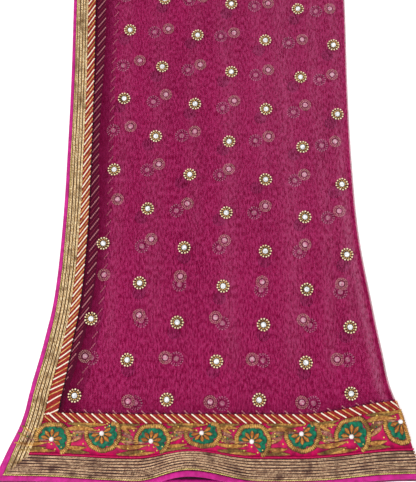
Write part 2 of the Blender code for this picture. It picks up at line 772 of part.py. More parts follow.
def make_end_ribbon(finish):
    """Diagonally striped ribbon above the embroidery, turned round the fold."""
    rails = (Rail(HEM_RIBBON.start, SEWN_TOP - RIB_DEPTH), Rail(HEM_RIBBON.end, SEWN_TOP - RIB_DEPTH))
    scale = 1.0 / (panel_right(HEM_RIBBON.start) - panel_left(HEM_RIBBON.start))
    first = from_border(SIDE_RIBBON.start + SEAM, HEM_RIBBON.start)
    lean = from_border(SIDE_RIBBON.end + SEAM, HEM_RIBBON.end) - first
    slant = -(HEM_RIBBON.end - HEM_RIBBON.start) * scale
    stations = striped_stations(first, 1.0, lean, slant, 0.0, scale)
    stations += [straight(share) for share in fold_columns()[1:]]
    return strip("end_ribbon", finish, rails, stations, on_hem, SEWN_SEAT)


def make_end_embroidery(finish):
    """Embroidered band with raised half flowers, pearls and leaves."""
    start = HEM_EMBROIDERY.start
    end = HEM_EMBROIDERY.end
    shares = hem_columns() + fold_columns()
    left = (SIDE_RIBBON.start, SIDE_RAILS[-1])
    outline = [(from_border(across, start), start) for across in left]
    outline += [(share, start) for share in shares]
    outline += [(share, end) for share in reversed(shares)]
    outline += [(from_border(across, end), end) for across in reversed(left)]
    outline += [(from_border(left[0], row), row) for row in reversed(HEM_ROWS) if start < row < end]
    outer = Plan()
    inner = Plan()
    for share in fold_columns():
        for plan in (outer, inner):
            plan.line([plan.add(share, start), plan.add(share, end)])
    for share in hem_columns():
        inner.line([inner.add(share, row) for row in (start, *BAND_BENDS, end)])
    inner.line([inner.add(from_border(left[-1], start), start), inner.add(from_border(left[-1], end), end)])
    flowers = []
    for number in range(FLOWER_COUNT):
        facing = 1.0 if number % 2 == 0 else -1.0
        middle = FLOWER_LOW if facing > 0 else FLOWER_HIGH
        flowers.append((FLOWER_FIRST + FLOWER_PITCH * number, middle, facing))
    for flower in flowers:
        add_half_flower(outer, *flower)
    clear = PETAL_REACH + PETAL_MARGIN + FLOWER_CLEARANCE
    for share in shares:
        for row in GROUND_ROWS:
            x = panel_left(row) + share * (panel_right(row) - panel_left(row))
            gaps = [math.hypot(x - spot, row - middle) for spot, middle, _ in flowers]
            if min(gaps) > clear and arch(x, 0.0) > ARCH_FOOT:
                outer.add(share, row)
    return wall("end_embroidery", finish, outline, outer, inner, SEWN_TOP - RIB_DEPTH, SEWN_SEAT)


def add_half_flower(plan, x, middle, facing):
    """Scalloped half flower round a pearl, with a leaf on each side."""
    def spot(radius, angle, raised):
        return plan.add(from_plan(x + radius * math.cos(angle), middle),
                        middle + facing * radius * math.sin(angle), raised)

    steps = PETAL_COUNT * 2
    rim = []
    bed = []
    for step in range(steps + 1):
        angle = math.pi * step / steps
        reach = PETAL_REACH if step % 2 else PETAL_NOTCH
        rim.append(spot(reach + PETAL_MARGIN, angle, 0.0))
        bed.append(spot(reach, angle, PETAL_RAISED))
    plan.line(rim)
    plan.line(bed)
    pearl = [spot(PEARL_RADIUS, 2 * math.pi * (step + 0.5) / 6, PETAL_RAISED) for step in range(6)]
    plan.loop(pearl)
    plan.add(from_plan(x, middle), middle, PEARL_RAISED)
    level = middle - facing
    for side in (-1.0, 1.0):
        root = x + side * (PEARL_RADIUS + LEAF_GAP)
        tip = x + side * (PEARL_RADIUS + LEAF_LENGTH)
        leaf = []
        ridge = []
        for step in range(LEAF_STEPS + 1):
            share = step / LEAF_STEPS
            width = 0.5 * LEAF_WIDTH * math.sin(math.pi * (LEAF_BLUNT + (1.0 - 2 * LEAF_BLUNT) * share))
            at = from_plan(root + (tip - root) * share, middle)
            inside = 0 < step < LEAF_STEPS
            if inside:
                leaf.append(plan.add(at, level - facing * width, 0.0))
            ridge.append(plan.add(at, level, LEAF_RAISED if inside else 0.0))
        plan.line([ridge[0]] + leaf + [ridge[-1]])
        plan.line(ridge)


def clear_scene():
    """Start from an empty scene."""
    for item in list(bpy.data.objects):
        bpy.data.objects.remove(item, do_unlink=True)


def main():
    """Make every piece of the veil with its own finish."""
    clear_scene()
    make_net_under(material("net_shadow", 0.16, 0.01, 0.05, 0.7))
    make_net_top(material("net_magenta", 0.32, 0.02, 0.09, 0.65))
    make_piping(material("silk_piping", 0.62, 0.03, 0.28, 0.4))
    make_under_piping(material("silk_piping_under", 0.50, 0.02, 0.22, 0.4))
    make_side_zari(material("gold_zari", 0.62, 0.42, 0.16, 0.38, 0.6))
    make_end_zari(material("antique_zari", 0.40, 0.26, 0.14, 0.42, 0.6))
    make_end_cord(material("pink_cord", 0.72, 0.01, 0.16, 0.45))
    make_end_embroidery(material("pink_silk", 0.70, 0.01, 0.18, 0.5))
    make_side_ribbon(material("striped_ribbon", 0.42, 0.06, 0.03, 0.5))
    make_end_ribbon(material("striped_ribbon_end", 0.46, 0.07, 0.03, 0.5))


main()
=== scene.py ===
"""Looks of the folded net veil with its beaded motifs and gold borders.

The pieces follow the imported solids, so their sizes repeat the part's own, in
millimetres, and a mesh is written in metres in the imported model's frame.
"""
import math
import random
from collections import namedtuple

import bmesh
import bpy
import numpy as np
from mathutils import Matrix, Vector


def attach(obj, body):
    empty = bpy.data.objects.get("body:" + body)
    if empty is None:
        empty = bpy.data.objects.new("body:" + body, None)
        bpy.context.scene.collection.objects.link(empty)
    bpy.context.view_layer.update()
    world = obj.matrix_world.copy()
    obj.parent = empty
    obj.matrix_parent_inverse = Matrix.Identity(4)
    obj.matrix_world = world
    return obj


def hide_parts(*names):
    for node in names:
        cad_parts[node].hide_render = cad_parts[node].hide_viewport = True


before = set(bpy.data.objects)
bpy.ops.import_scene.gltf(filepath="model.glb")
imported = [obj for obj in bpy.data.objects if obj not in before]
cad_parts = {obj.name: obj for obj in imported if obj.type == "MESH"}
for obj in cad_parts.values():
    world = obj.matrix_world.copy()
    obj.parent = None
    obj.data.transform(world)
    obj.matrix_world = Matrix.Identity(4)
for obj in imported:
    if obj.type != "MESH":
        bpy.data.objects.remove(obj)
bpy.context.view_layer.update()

# Sizes of the folded veil
METRES = 0.001
FOLDED_LENGTH = 1100.0
STACK = 10.0
PAIR = 3.6
EDGE_DROP = 3.5
EDGE_DROP_REACH = 36.0
CENTRE = np.array((1.47, 548.82, 0.0))
FAR_CENTRE = STACK / 2
FAR_RADIUS = STACK / 2 - PAIR / 2
FAR_START = FOLDED_LENGTH - STACK / 2
FAR_SPAN = 16.0
SIDE_END = FAR_START + FAR_SPAN * 2.0 / 3.0
FOLD_SPAN = 0.015
FOLD_END = 1.0 + FOLD_SPAN
FOLD_NEAR = 0.985
FINE_TO = 110.0

Section = namedtuple("Section", "from_hem left right column pitch lean border")
SECTIONS = (
    Section(0.0, -241.0, 243.0, 1.0, 111.0, 0.0, 1.10),
    Section(30.0, -230.0, 234.5, 3.0, 110.0, 0.0, 1.10),
    Section(65.0, -217.0, 223.5, 4.5, 108.5, 0.0, 1.08),
    Section(100.0, -207.5, 212.5, 6.0, 107.0, 0.004, 1.06),
    Section(150.0, -195.5, 206.5, 11.0, 104.5, 0.018, 1.04),
    Section(210.0, -185.0, 198.0, 17.0, 101.5, 0.035, 1.02),
    Section(300.0, -179.5, 186.0, 21.5, 98.0, 0.050, 1.00),
    Section(400.0, -178.0, 181.5, 26.0, 93.5, 0.075, 0.97),
    Section(500.0, -178.0, 181.0, 30.0, 90.0, 0.080, 0.95),
    Section(620.0, -180.0, 183.0, 31.0, 88.5, 0.080, 0.94),
    Section(860.0, -181.0, 184.0, 31.0, 88.5, 0.040, 0.94),
    Section(1100.0, -181.0, 184.0, 31.0, 88.5, 0.0, 0.94),
)

# Widths of what is sewn along the side edge and along the hem, from the edge inwards
Band = namedtuple("Band", "start end")
SEAM = 0.3
SIDE_PIPING = Band(0.0, 5.0)
SIDE_ZARI = Band(5.3, 22.0)
SIDE_RIBBON = Band(22.3, 34.0)
HEM_PIPING = Band(0.0, 6.0)
HEM_ZARI = Band(6.3, 30.0)
HEM_CORD = Band(30.3, 32.7)
HEM_EMBROIDERY = Band(33.0, 69.0)
HEM_RIBBON = Band(69.3, 79.0)
RIBBON_NARROW = 0.8
RIBBON_WIDENS = 0.3
RIBBON_WIDE_TO = 170.0
RIBBON_WIDE_SPAN = 90.0
SEWN_SEAT = 0.4
SEWN_TOP = 1.5

ARCH_HEIGHT = 29.0
ARCH_CREST = -21.0
ARCH_LEFT = 62.0
ARCH_RIGHT = 78.0
ARCH_REACH = 95.0
ARCH_PULL = 14.0
ARCH_PULL_REACH = 66.0
ARCH_PULL_SPAN = 60.0

RIGHT_RISE_START = 105.0
RIGHT_RISE_SPAN = 125.0
LEFT_RISE_START = 80.0
LEFT_RISE_SPAN = 130.0
Rise = namedtuple("Rise", "from_hem height")
RIGHT_RISES = (Rise(0.0, 8.0), Rise(31.0, 9.0), Rise(72.0, 15.5), Rise(84.0, 16.0), Rise(185.0, 0.0))
LEFT_RISES = (Rise(0.0, 6.0), Rise(31.0, 4.5), Rise(68.0, 2.0), Rise(80.0, 2.0), Rise(96.0, 7.0),
              Rise(200.0, 3.0), Rise(380.0, 0.0))

MOTIF_FIRST_ROW = 95.5
MOTIF_ROW_PITCH = 43.8
MOTIF_ROW_GROWTH = 0.28
MOTIF_ROWS = 20
MOTIF_CLEARANCE = 12.0

FLOWER_FIRST = -179.0
FLOWER_PITCH = 57.2
FLOWER_COUNT = 8
FLOWER_LOW = 49.0
FLOWER_HIGH = 57.5
FAN_LOBES = 6
FAN_REACH = 16.4
RIM_REACH = 20.2
FAN_FIRST = math.radians(186.0)
FAN_SWEEP = math.radians(238.0)

# Leaves beside each flower: where they start and end along the band, how far they lie
# towards its edge on the side away from the fan, their bend, half width and strands
Leaf = namedtuple("Leaf", "start end near far bend half strands kind")
LEAVES = (
    Leaf(-42.0, -5.0, 0.34, 0.28, 2.0, 2.6, 5, "gilt"),
    Leaf(-39.0, -7.0, 0.95, 0.68, 0.8, 2.8, 5, "olive"),
    Leaf(-24.0, 4.0, 1.02, 0.92, -0.6, 1.8, 4, "gilt"),
    Leaf(-39.0, -21.0, -0.45, -0.05, 0.8, 1.9, 4, "olive"),
    Leaf(-35.0, -24.0, -1.00, -0.60, 0.6, 1.7, 3, "gilt"),
    Leaf(-31.0, -4.0, 0.00, 0.08, 0.6, 1.4, 3, "rose"),
    Leaf(12.0, 43.0, 1.0, 0.94, -0.8, 2.2, 4, "olive"),
    Leaf(18.0, 40.0, 0.55, 0.55, 1.4, 2.4, 5, "gilt"),
    Leaf(22.0, 35.0, 0.12, -0.35, 0.8, 1.6, 3, "rose"),
    Leaf(21.0, 30.0, -0.75, -1.00, 0.6, 1.3, 3, "olive"),
)
CURL_X = -28.0
CURL_Y = 2.6
BEADS = ((2.0, -6.5), (11.0, -9.0), (6.0, -12.5), (-11.0, -11.5), (-25.0, -7.5), (-33.0, 4.0), (25.0, 9.0),
         (-20.0, 12.5), (22.5, 2.0), (-5.0, -4.5))

# Ribs of the two metal-thread bands, and how many threads lie over each
Rib = namedtuple("Rib", "start end threads")
SIDE_RIBS = (Rib(5.4, 6.8, 1), Rib(7.2, 10.0, 2), Rib(11.3, 14.1, 2), Rib(15.3, 17.9, 2), Rib(19.2, 21.7, 2))
HEM_RIBS = (Rib(6.4, 7.6, 1), Rib(8.1, 10.2, 2), Rib(11.2, 13.3, 2), Rib(14.4, 16.5, 2), Rib(17.6, 19.7, 2),
            Rib(20.9, 23.0, 2), Rib(24.1, 26.2, 2), Rib(27.4, 29.6, 2))
GROOVE = 0.55
RIDGE = 1.05
MITRE = (HEM_ZARI.end - HEM_ZARI.start) / (SIDE_ZARI.end - SIDE_ZARI.start)

# Slanted cords of the striped ribbons
CORD_ORDER = ("cream", "red", "gold", "red")
SIDE_CORD_PITCH = 12.0
SIDE_CORD_SPREAD = 3.4
SIDE_CORD_RISE = 13.5
HIDDEN_CORD_PITCH = 13.6
END_CORD_PITCH = 16.6
END_CORD_RUN = 11.5
RIBBON_MITRE = 0.83
RIBBON_HEIGHT = 1.0
CORD_HEIGHT = SEWN_TOP - 0.2

# Soft lengthwise creases of the top layer: where each crosses the hem end and the far
# end, its half width, its height and the stretch of cloth that it runs over.
Crease = namedtuple("Crease", "near far width height first last")
CREASES = (
    Crease(-118.0, -96.0, 9.0, 0.9, 120.0, 980.0),
    Crease(-62.0, -71.0, 13.0, 0.7, 150.0, 760.0),
    Crease(-14.0, -22.0, 8.0, 0.8, 260.0, 1090.0),
    Crease(33.0, 12.0, 11.0, 1.0, 110.0, 690.0),
    Crease(71.0, 62.0, 7.0, 0.8, 340.0, 1090.0),
    Crease(104.0, 93.0, 12.0, 1.1, 105.0, 900.0),
    Crease(148.0, 131.0, 8.0, 1.3, 100.0, 1000.0),
    Crease(176.0, 152.0, 6.0, 1.2, 130.0, 1090.0),
)

# How far the second layer's motifs lie from the top one's, and the third's from the
# second's, by distance from the hem
Shift = namedtuple("Shift", "from_hem across back")
SECOND_SHIFTS = (Shift(95.0, 51.0, -1.5), Shift(140.0, 43.5, 2.5), Shift(200.0, 48.0, 8.0),
                 Shift(300.0, 49.0, 11.0), Shift(450.0, 50.0, 11.0), Shift(600.0, 49.0, 7.0))
THIRD_SHIFTS = (Shift(95.0, 14.0, -1.8), Shift(140.0, 13.0, -1.0), Shift(184.0, 8.3, -6.0),
                Shift(228.0, -1.0, -9.5), Shift(272.0, -6.0, -8.5), Shift(318.0, -14.0, -8.8),
                Shift(363.0, -10.6, -7.6), Shift(410.0, -17.0, -4.7), Shift(455.0, -14.5, -9.7),
                Shift(580.0, -18.0, -3.0))
# The fourth lattice is shifted from the top layer's motifs: its dark discs stand partly for the fourth
# layer's motif backs and partly for painted shadow of the top motifs.
FOURTH_SHIFTS = (Shift(95.0, 0.0, -12.0), Shift(230.0, -2.5, -12.5), Shift(275.0, -1.5, -12.5),
                 Shift(315.0, -8.0, -9.0), Shift(360.0, -10.0, -9.5), Shift(600.0, -7.0, -10.0))

# The layers under the top one: height over the surface, share of the hem's arch, how far
# the side edge, the hem and the right fold lie inside the top layer's own
Layer = namedtuple("Layer", "height lifted side hem fold")
SECOND = Layer(8.0, 0.5, 9.4, 0.8, -1.2)
THIRD = Layer(3.7, 0.0, 25.0, -2.0, 0.5)
FOURTH = Layer(0.4, 0.0, 7.0, -3.2, 0.5)


# Stage, in metres and watts: floor, sky, lamps by name, place, size and power, and camera
FLOOR_REACH = 4.0
SKY_STRENGTH = 0.75
LAMPS = (("key", (-0.9, -0.9, 1.7), 1.2, 22.0), ("fill", (1.2, 0.6, 1.6), 1.6, 9.0))
LAMP_TARGET = (0.0, -0.25, 0.0)
CAMERA_TARGET = (-0.00147, -0.26182, 0.0)
CAMERA_DISTANCE = 0.83
CAMERA_STEEPNESS = math.radians(77.0)


def stretches(*parts):
    """Places along stretches that follow each other: each has its start, end and number."""
    runs = [np.linspace(*part) for part in parts]
    return np.concatenate(runs[:1] + [run[1:] for run in runs[1:]])


def smooth_step(value):
    """Soft ramp from 0 to 1."""
    value = np.clip(value, 0.0, 1.0)
    return value * value * (3.0 - 2.0 * value)


def along(rows, column, at):
    """One column of a table at distances from the hem, on a smooth curve through its rows."""
    at = np.asarray(at, float)
    places = np.array([row.from_hem for row in rows])
    values = np.array([getattr(row, column) for row in rows])
    slopes = np.empty(len(rows))
    slopes[0] = (values[1] - values[0]) / (places[1] - places[0])
    slopes[-1] = (values[-1] - values[-2]) / (places[-1] - places[-2])
    slopes[1:-1] = (values[2:] - values[:-2]) / (places[2:] - places[:-2])
    index = np.clip(np.searchsorted(places, at, side="right") - 1, 0, len(rows) - 2)
    span = places[index + 1] - places[index]
    t = np.clip((at - places[index]) / span, 0.0, 1.0)
    curve = (2 * t ** 3 - 3 * t ** 2 + 1) * values[index] + (3 * t ** 2 - 2 * t ** 3) * values[index + 1]
    curve += ((t ** 3 - 2 * t ** 2 + t) * slopes[index] + (t ** 3 - t ** 2) * slopes[index + 1]) * span
    return np.where(at < places[0], values[0] + slopes[0] * (at - places[0]), curve)


def border_scale(from_hem):
    """How a width square to the side edge measures along X."""
    step = 2.0
    change = along(SECTIONS, "left", from_hem + step) - along(SECTIONS, "left", from_hem - step)
    return along(SECTIONS, "border", from_hem) * np.hypot(1.0, change / (2 * step))


def panel_left(from_hem):
    """X of the net's own left edge, behind the piping."""
    return along(SECTIONS, "left", from_hem) + SIDE_ZARI.start * border_scale(from_hem)


def panel_right(from_hem):
    """X where the net starts to turn down at the fold."""
    return along(SECTIONS, "right", from_hem) - PAIR / 2


def taken_in(across, from_hem):
    """A place across the side border, with the ribbon narrower away from the hem."""
    share = RIBBON_NARROW + RIBBON_WIDENS * smooth_step((RIBBON_WIDE_TO - from_hem) / RIBBON_WIDE_SPAN)
    return np.minimum(across, SIDE_RIBBON.start) + np.maximum(0.0, across - SIDE_RIBBON.start) * share


def from_border(across, from_hem):
    """Share of the panel's width at a distance in from the side edge."""
    flat = np.minimum(from_hem, FAR_START)
    across = taken_in(across, flat)
    left = along(SECTIONS, "left", flat) + across * border_scale(flat)
    return (left - panel_left(flat)) / (panel_right(flat) - panel_left(flat))


def from_plan(x, from_hem):
    """Share of the panel's width at a plan X."""
    return (x - panel_left(from_hem)) / (panel_right(from_hem) - panel_left(from_hem))


def arch(x, from_hem):
    """Height of the hem's arch, as a share of its crest."""
    side = np.where(x < ARCH_CREST, ARCH_LEFT, ARCH_RIGHT)
    across = np.minimum(1.0, np.abs(x - ARCH_CREST) / side)
    inward = np.maximum(0.0, 1.0 - np.maximum(0.0, from_hem) / ARCH_REACH)
    return np.cos(across * math.pi / 2) ** 2 * inward ** 1.5


def arch_pull(x, from_hem, lifted=1.0):
    """How far the arch draws a row back, in plan."""
    inward = smooth_step((ARCH_PULL_REACH - from_hem) / ARCH_PULL_SPAN)
    return ARCH_PULL * arch(x, 0.0) * inward * lifted ** 2


def rise_at(rises, from_hem):
    """Height of a corner's rise at distances from the hem."""
    height = np.where(from_hem < 0.0, rises[0].height, 0.0)
    for low, high in zip(rises, rises[1:]):
        share = (from_hem - low.from_hem) / (high.from_hem - low.from_hem)
        rise = low.height + (high.height - low.height) * smooth_step(share)
        height = np.where((from_hem >= low.from_hem) & (from_hem < high.from_hem), rise, height)
    return height


def run_back(x, from_hem):
    """How far a row lies behind its distance from the hem, in plan."""
    lean = -along(SECTIONS, "lean", from_hem) * x
    right = rise_at(RIGHT_RISES, from_hem) * smooth_step((x - RIGHT_RISE_START) / RIGHT_RISE_SPAN)
    left = rise_at(LEFT_RISES, from_hem) * smooth_step((-x - LEFT_RISE_START) / LEFT_RISE_SPAN)
    return lean + right + left


def drop(x, from_hem):
    """How far the cloth sinks towards the surface near its side edge."""
    inside = (x - along(SECTIONS, "left", from_hem)) / border_scale(from_hem)
    return EDGE_DROP * np.maximum(0.0, 1.0 - np.maximum(0.0, inside) / EDGE_DROP_REACH) ** 2


def crease(x, from_hem):
    """How far the top layer's soft creases stand up."""
    lift = np.zeros(np.broadcast(x, from_hem).shape)
    for line in CREASES:
        share = from_hem / FOLDED_LENGTH
        middle = line.near + (line.far - line.near) * share + 3.0 * np.sin(from_hem / 71.0 + line.near)
        rise = smooth_step((from_hem - line.first) / 60.0) * smooth_step((line.last - from_hem) / 120.0)
        lift = lift + line.height * rise * np.exp(-((x - middle) / line.width) ** 2)
    return lift


def sheet_point(share, distance):
    """Point on the top layer's outer face, before its creases."""
    flat = np.minimum(distance, FAR_START)
    fold_turn = np.maximum(0.0, share - 1.0) / FOLD_SPAN * math.pi
    far_turn = np.maximum(0.0, distance - FAR_START) / FAR_SPAN * math.pi
    reach = PAIR / 2
    left = panel_left(flat)
    x = left + np.minimum(share, 1.0) * (panel_right(flat) - left) + reach * np.sin(fold_turn)
    radius = FAR_RADIUS + reach * np.cos(fold_turn)
    lift = arch(x, flat)
    sunk = drop(x, flat) * (1.0 - far_turn / math.pi)
    y = flat + run_back(x, flat) + arch_pull(x, flat) + radius * np.sin(far_turn)
    z = FAR_CENTRE + radius * np.cos(far_turn) + ARCH_HEIGHT * lift - sunk
    return np.stack((x, y, z), axis=-1)


def top_point(share, distance, outwards=0.0):
    """Points over the top layer's outer face, measured square to it, and the way out there."""
    share, distance, outwards = np.broadcast_arrays(
        np.asarray(share, float), np.asarray(distance, float), np.asarray(outwards, float))
    step_share = 0.0004
    step_distance = 0.2
    here = sheet_point(share, distance)
    across = sheet_point(share + step_share, distance) - sheet_point(share - step_share, distance)
    inward = sheet_point(share, distance + step_distance) - sheet_point(share, distance - step_distance)
    out = np.cross(across, inward)
    out /= np.linalg.norm(out, axis=-1, keepdims=True)
    lift = outwards + crease(here[..., 0], np.minimum(distance, FAR_START)) * (share < 1.0)
    return (here + out * lift[..., None] - CENTRE) * METRES, out


def side_point(across, distance, height=0.0):
    """Points over the side border, by distance in from the edge."""
    return top_point(from_border(across, distance), distance, height)


def plan_point(x, distance, height=0.0):
    """Points over the top layer at a plan X."""
    return top_point(from_plan(x, distance), distance, height)


def under_point(layer, x, distance, height=0.0):
    """Points over one of the hidden layers at a plan X."""
    x, distance, height = np.broadcast_arrays(
        np.asarray(x, float), np.asarray(distance, float), np.asarray(height, float))
    lift = arch(x, distance) * layer.lifted
    y = distance + run_back(x, distance) + arch_pull(x, distance, layer.lifted)
    level = layer.height * np.ones_like(x)
    if layer is SECOND:
        level = level - 1.7 * smooth_step((x - panel_right(distance) + 28.0) / 28.0)
    z = level * (1.0 - drop(x, distance) / (STACK - 1.3)) + ARCH_HEIGHT * lift + height
    return (np.stack((x, y, z), axis=-1) - CENTRE) * METRES, np.tile((0.0, 0.0, 1.0), x.shape + (1,))


def layer_left(layer, distance):
    """X of a hidden layer's side edge, which wanders further in towards the far end."""
    wander = 0.0
    if layer is SECOND:
        wander = 2.6 * np.cos((distance - 240.0) / 320.0 * 2 * math.pi)
    if layer is THIRD:
        wander = 7.0 * smooth_step((distance - 450.0) / 200.0)
    # The fourth layer's edge pokes out past the top piping from about 70 to 215 mm: its darker piping there
    # is partly that edge and partly painted shadow beside the top piping.
    if layer is FOURTH:
        wander = -3.8 * smooth_step((distance - 70.0) / 40.0) * smooth_step((215.0 - distance) / 40.0)
    near = smooth_step((distance + 10.0) / 150.0)
    inside = 2.0 + (layer.side - 2.0 + wander) * near
    return along(SECTIONS, "left", distance) + inside * border_scale(distance)


# Materials


def colour(code):
    """Linear colour of an sRGB hex value."""
    parts = [int(code[i:i + 2], 16) / 255.0 for i in (1, 3, 5)]
    return tuple(p / 12.92 if p <= 0.04045 else ((p + 0.055) / 1.055) ** 2.4 for p in parts) + (1.0,)


def add(tree, kind, settings=None, **inputs):
    """Node with its settings, and its inputs as values or links."""
    made = tree.nodes.new(kind)
    for name, value in (settings or {}).items():
        setattr(made, name, value)
    for name, value in inputs.items():
        socket = made.inputs[int(name[1:])] if name[1:].isdigit() else made.inputs[name.replace("_", " ")]
        if isinstance(value, bpy.types.NodeSocket):
            tree.links.new(value, socket)
        else:
            socket.default_value = value
    return made


def start_finish(name, **values):
    """Material with a Principled shader whose even values are set on its own sockets."""
    material = bpy.data.materials.new(name)
    material.use_nodes = True
    tree = material.node_tree
    tree.nodes.clear()
    shader = add(tree, "ShaderNodeBsdfPrincipled", None, **values)
    add(tree, "ShaderNodeOutputMaterial", None, Surface=shader.outputs["BSDF"])
    return material, tree, shader


def blend_colours(tree, factor, first, second):
    """Mix of two colours, each a hex value or a link."""
    first = colour(first) if isinstance(first, str) else first
    second = colour(second) if isinstance(second, str) else second
    mix = add(tree, "ShaderNodeMix", {"data_type": "RGBA"}, i0=factor, i6=first, i7=second)
    return mix.outputs[2]


def spread(tree, value, low, high):
    """A value stretched so that low reads 0 and high reads 1."""
    ramp = add(tree, "ShaderNodeMapRange", {"clamp": True}, Value=value, i1=low, i2=high)
    return ramp.outputs["Result"]


def cloth_place(tree, sizes, turned=(0.0, 0.0, 0.0)):
    """Places on a piece, scaled by repeats in a metre each way."""
    place = add(tree, "ShaderNodeTexCoord").outputs["Object"]
    return add(tree, "ShaderNodeMapping", None, Vector=place, Rotation=turned, Scale=sizes).outputs["Vector"]


def noise(tree, place, detail=3.0, roughness=0.5):
    """Cloudy pattern from 0 to 1."""
    return add(tree, "ShaderNodeTexNoise", None, Vector=place, Scale=1.0, Detail=detail,
               Roughness=roughness).outputs["Fac"]


def bump(tree, shader, height, distance, strength=1.0):
    """Fine relief in metres."""
    made = add(tree, "ShaderNodeBump", None, Height=height, Distance=distance, Strength=strength)
    tree.links.new(made.outputs["Normal"], shader.inputs["Normal"])


def net_finish(name, pale, light, dark, alpha, toned=False):
    """Soft nylon net: sheer and matt, with a fine hexagon mesh and dye that is streaked
    lengthwise; a toned one has painted highlight and painted shade mixed in where its mesh's tone says so."""
    material, tree, shader = start_finish(name, Roughness=0.8, Alpha=alpha, Specular_IOR_Level=0.06)
    clouds = noise(tree, cloth_place(tree, (24.0, 8.0, 20.0)), detail=3.0)
    streaks = noise(tree, cloth_place(tree, (560.0, 170.0, 400.0)), detail=3.0, roughness=0.6)
    mesh = add(tree, "ShaderNodeTexVoronoi", {"feature": "DISTANCE_TO_EDGE"},
               Vector=cloth_place(tree, (1.0, 1.0, 1.0)), Scale=620.0)
    threads = spread(tree, mesh.outputs["Distance"], 0.3, 0.1)
    patches = blend_colours(tree, spread(tree, clouds, 0.3, 0.8), dark, light)
    streaked = blend_colours(tree, spread(tree, streaks, 0.42, 0.62), patches, pale)
    dye_and_painted_light = blend_colours(tree, spread(tree, streaks, 0.52, 0.36), streaked, dark)
    if toned:
        tone = add(tree, "ShaderNodeAttribute", {"attribute_name": "tone"}).outputs["Fac"]
        # Painted highlight, in streaks, where the tone is over 0.5; painted shade where it is under.
        mottled = add(tree, "ShaderNodeMath", {"operation": "MULTIPLY"}, i0=spread(tree, tone, 0.5, 1.0),
                      i1=spread(tree, streaks, 0.3, 0.6)).outputs[0]
        dye_and_painted_light = blend_colours(tree, mottled, dye_and_painted_light, NET_PALE)
        dye_and_painted_light = blend_colours(tree, spread(tree, tone, 0.5, 0.0), dye_and_painted_light, NET_DEEP)
    open_mesh = add(tree, "ShaderNodeMath", {"operation": "MULTIPLY"}, i0=threads, i1=0.3).outputs[0]
    tree.links.new(blend_colours(tree, open_mesh, dye_and_painted_light, dark), shader.inputs["Base Color"])
    bump(tree, shader, threads, 0.0001, 0.3)
    return material


def satin_finish(name, light, dark, roughness=0.5):
    """Silk satin: soft gloss with small crosswise puckers where it is sewn."""
    material, tree, shader = start_finish(name, Roughness=roughness, Specular_IOR_Level=0.2)
    puckers = noise(tree, cloth_place(tree, (160.0, 160.0, 160.0)), detail=3.0)
    weave = add(tree, "ShaderNodeTexWave", {"bands_direction": "DIAGONAL"},
                Vector=cloth_place(tree, (1.0, 1.0, 1.0)), Scale=420.0, Distortion=1.5)
    tree.links.new(blend_colours(tree, spread(tree, puckers, 0.3, 0.7), dark, light),
                   shader.inputs["Base Color"])
    both = add(tree, "ShaderNodeMath", {"operation": "MULTIPLY_ADD"}, i0=weave.outputs["Fac"], i1=0.25,
               i2=puckers).outputs[0]
    bump(tree, shader, both, 0.0007, 0.6)
    return material


def laid_finish(name, light, middle, wear_and_sheen, metallic=0.3, roughness=0.45):
    """Metal-wrapped thread: it catches the light in short lengths and shows wear in patches."""
    material, tree, shader = start_finish(name, Roughness=roughness, Metallic=metallic,
                                          Specular_IOR_Level=0.4)
    glints = noise(tree, cloth_place(tree, (420.0, 420.0, 300.0)), detail=2.0)
    patches = noise(tree, cloth_place(tree, (75.0, 75.0, 60.0)), detail=2.0)
    gold = blend_colours(tree, spread(tree, glints, 0.36, 0.64), middle, light)
    tree.links.new(blend_colours(tree, spread(tree, patches, 0.5, 0.72), gold, wear_and_sheen),
                   shader.inputs["Base Color"])
    bump(tree, shader, glints, 0.0004, 0.6)
    return material


def thread_finish(name, light, dark, roughness=0.55, metallic=0.0, scale=500.0):
    """Spun embroidery thread or plain cloth: fine strands with a soft gloss."""
    material, tree, shader = start_finish(name, Roughness=roughness, Metallic=metallic,
                                          Specular_IOR_Level=0.2)
    strands = noise(tree, cloth_place(tree, (scale, scale, scale)), detail=2.0)
    tree.links.new(blend_colours(tree, spread(tree, strands, 0.3, 0.7), dark, light),
                   shader.inputs["Base Color"])
    bump(tree, shader, strands, 0.0004, 0.7)
    return material


def glass_finish(name, light, dark, roughness=0.15, metallic=0.0):
    """Backed glass or pearl: bright, hard gloss with a slight cloud inside."""
    material, tree, shader = start_finish(name, Roughness=roughness, Metallic=metallic, IOR=1.52)
    cloud = noise(tree, cloth_place(tree, (420.0, 420.0, 420.0)), detail=2.0)
    tree.links.new(blend_colours(tree, spread(tree, cloud, 0.35, 0.65), dark, light),
                   shader.inputs["Base Color"])
    return material


# Colours that the top net's tone mixes in: pale for painted highlight over its folds and creases and a paler
# drift to the right and far end,
# # deep for painted shade beside the ribbons and for a dark line and patch by the fold
NET_PALE = "#dc80a8"
NET_DEEP = "#68002e"
NET_TOP = net_finish("nylon_net_top", "#d04484", "#ac145c", "#740032", 0.36, toned=True)
NET_SECOND = net_finish("nylon_net_second", "#c43078", "#aa0c54", "#7c0038", 0.34)
NET_LOW = net_finish("nylon_net_low", "#bc1c64", "#aa0c52", "#840038", 0.92)
PIPING_SILK = satin_finish("magenta_satin_piping", "#c81e8c", "#a01068")
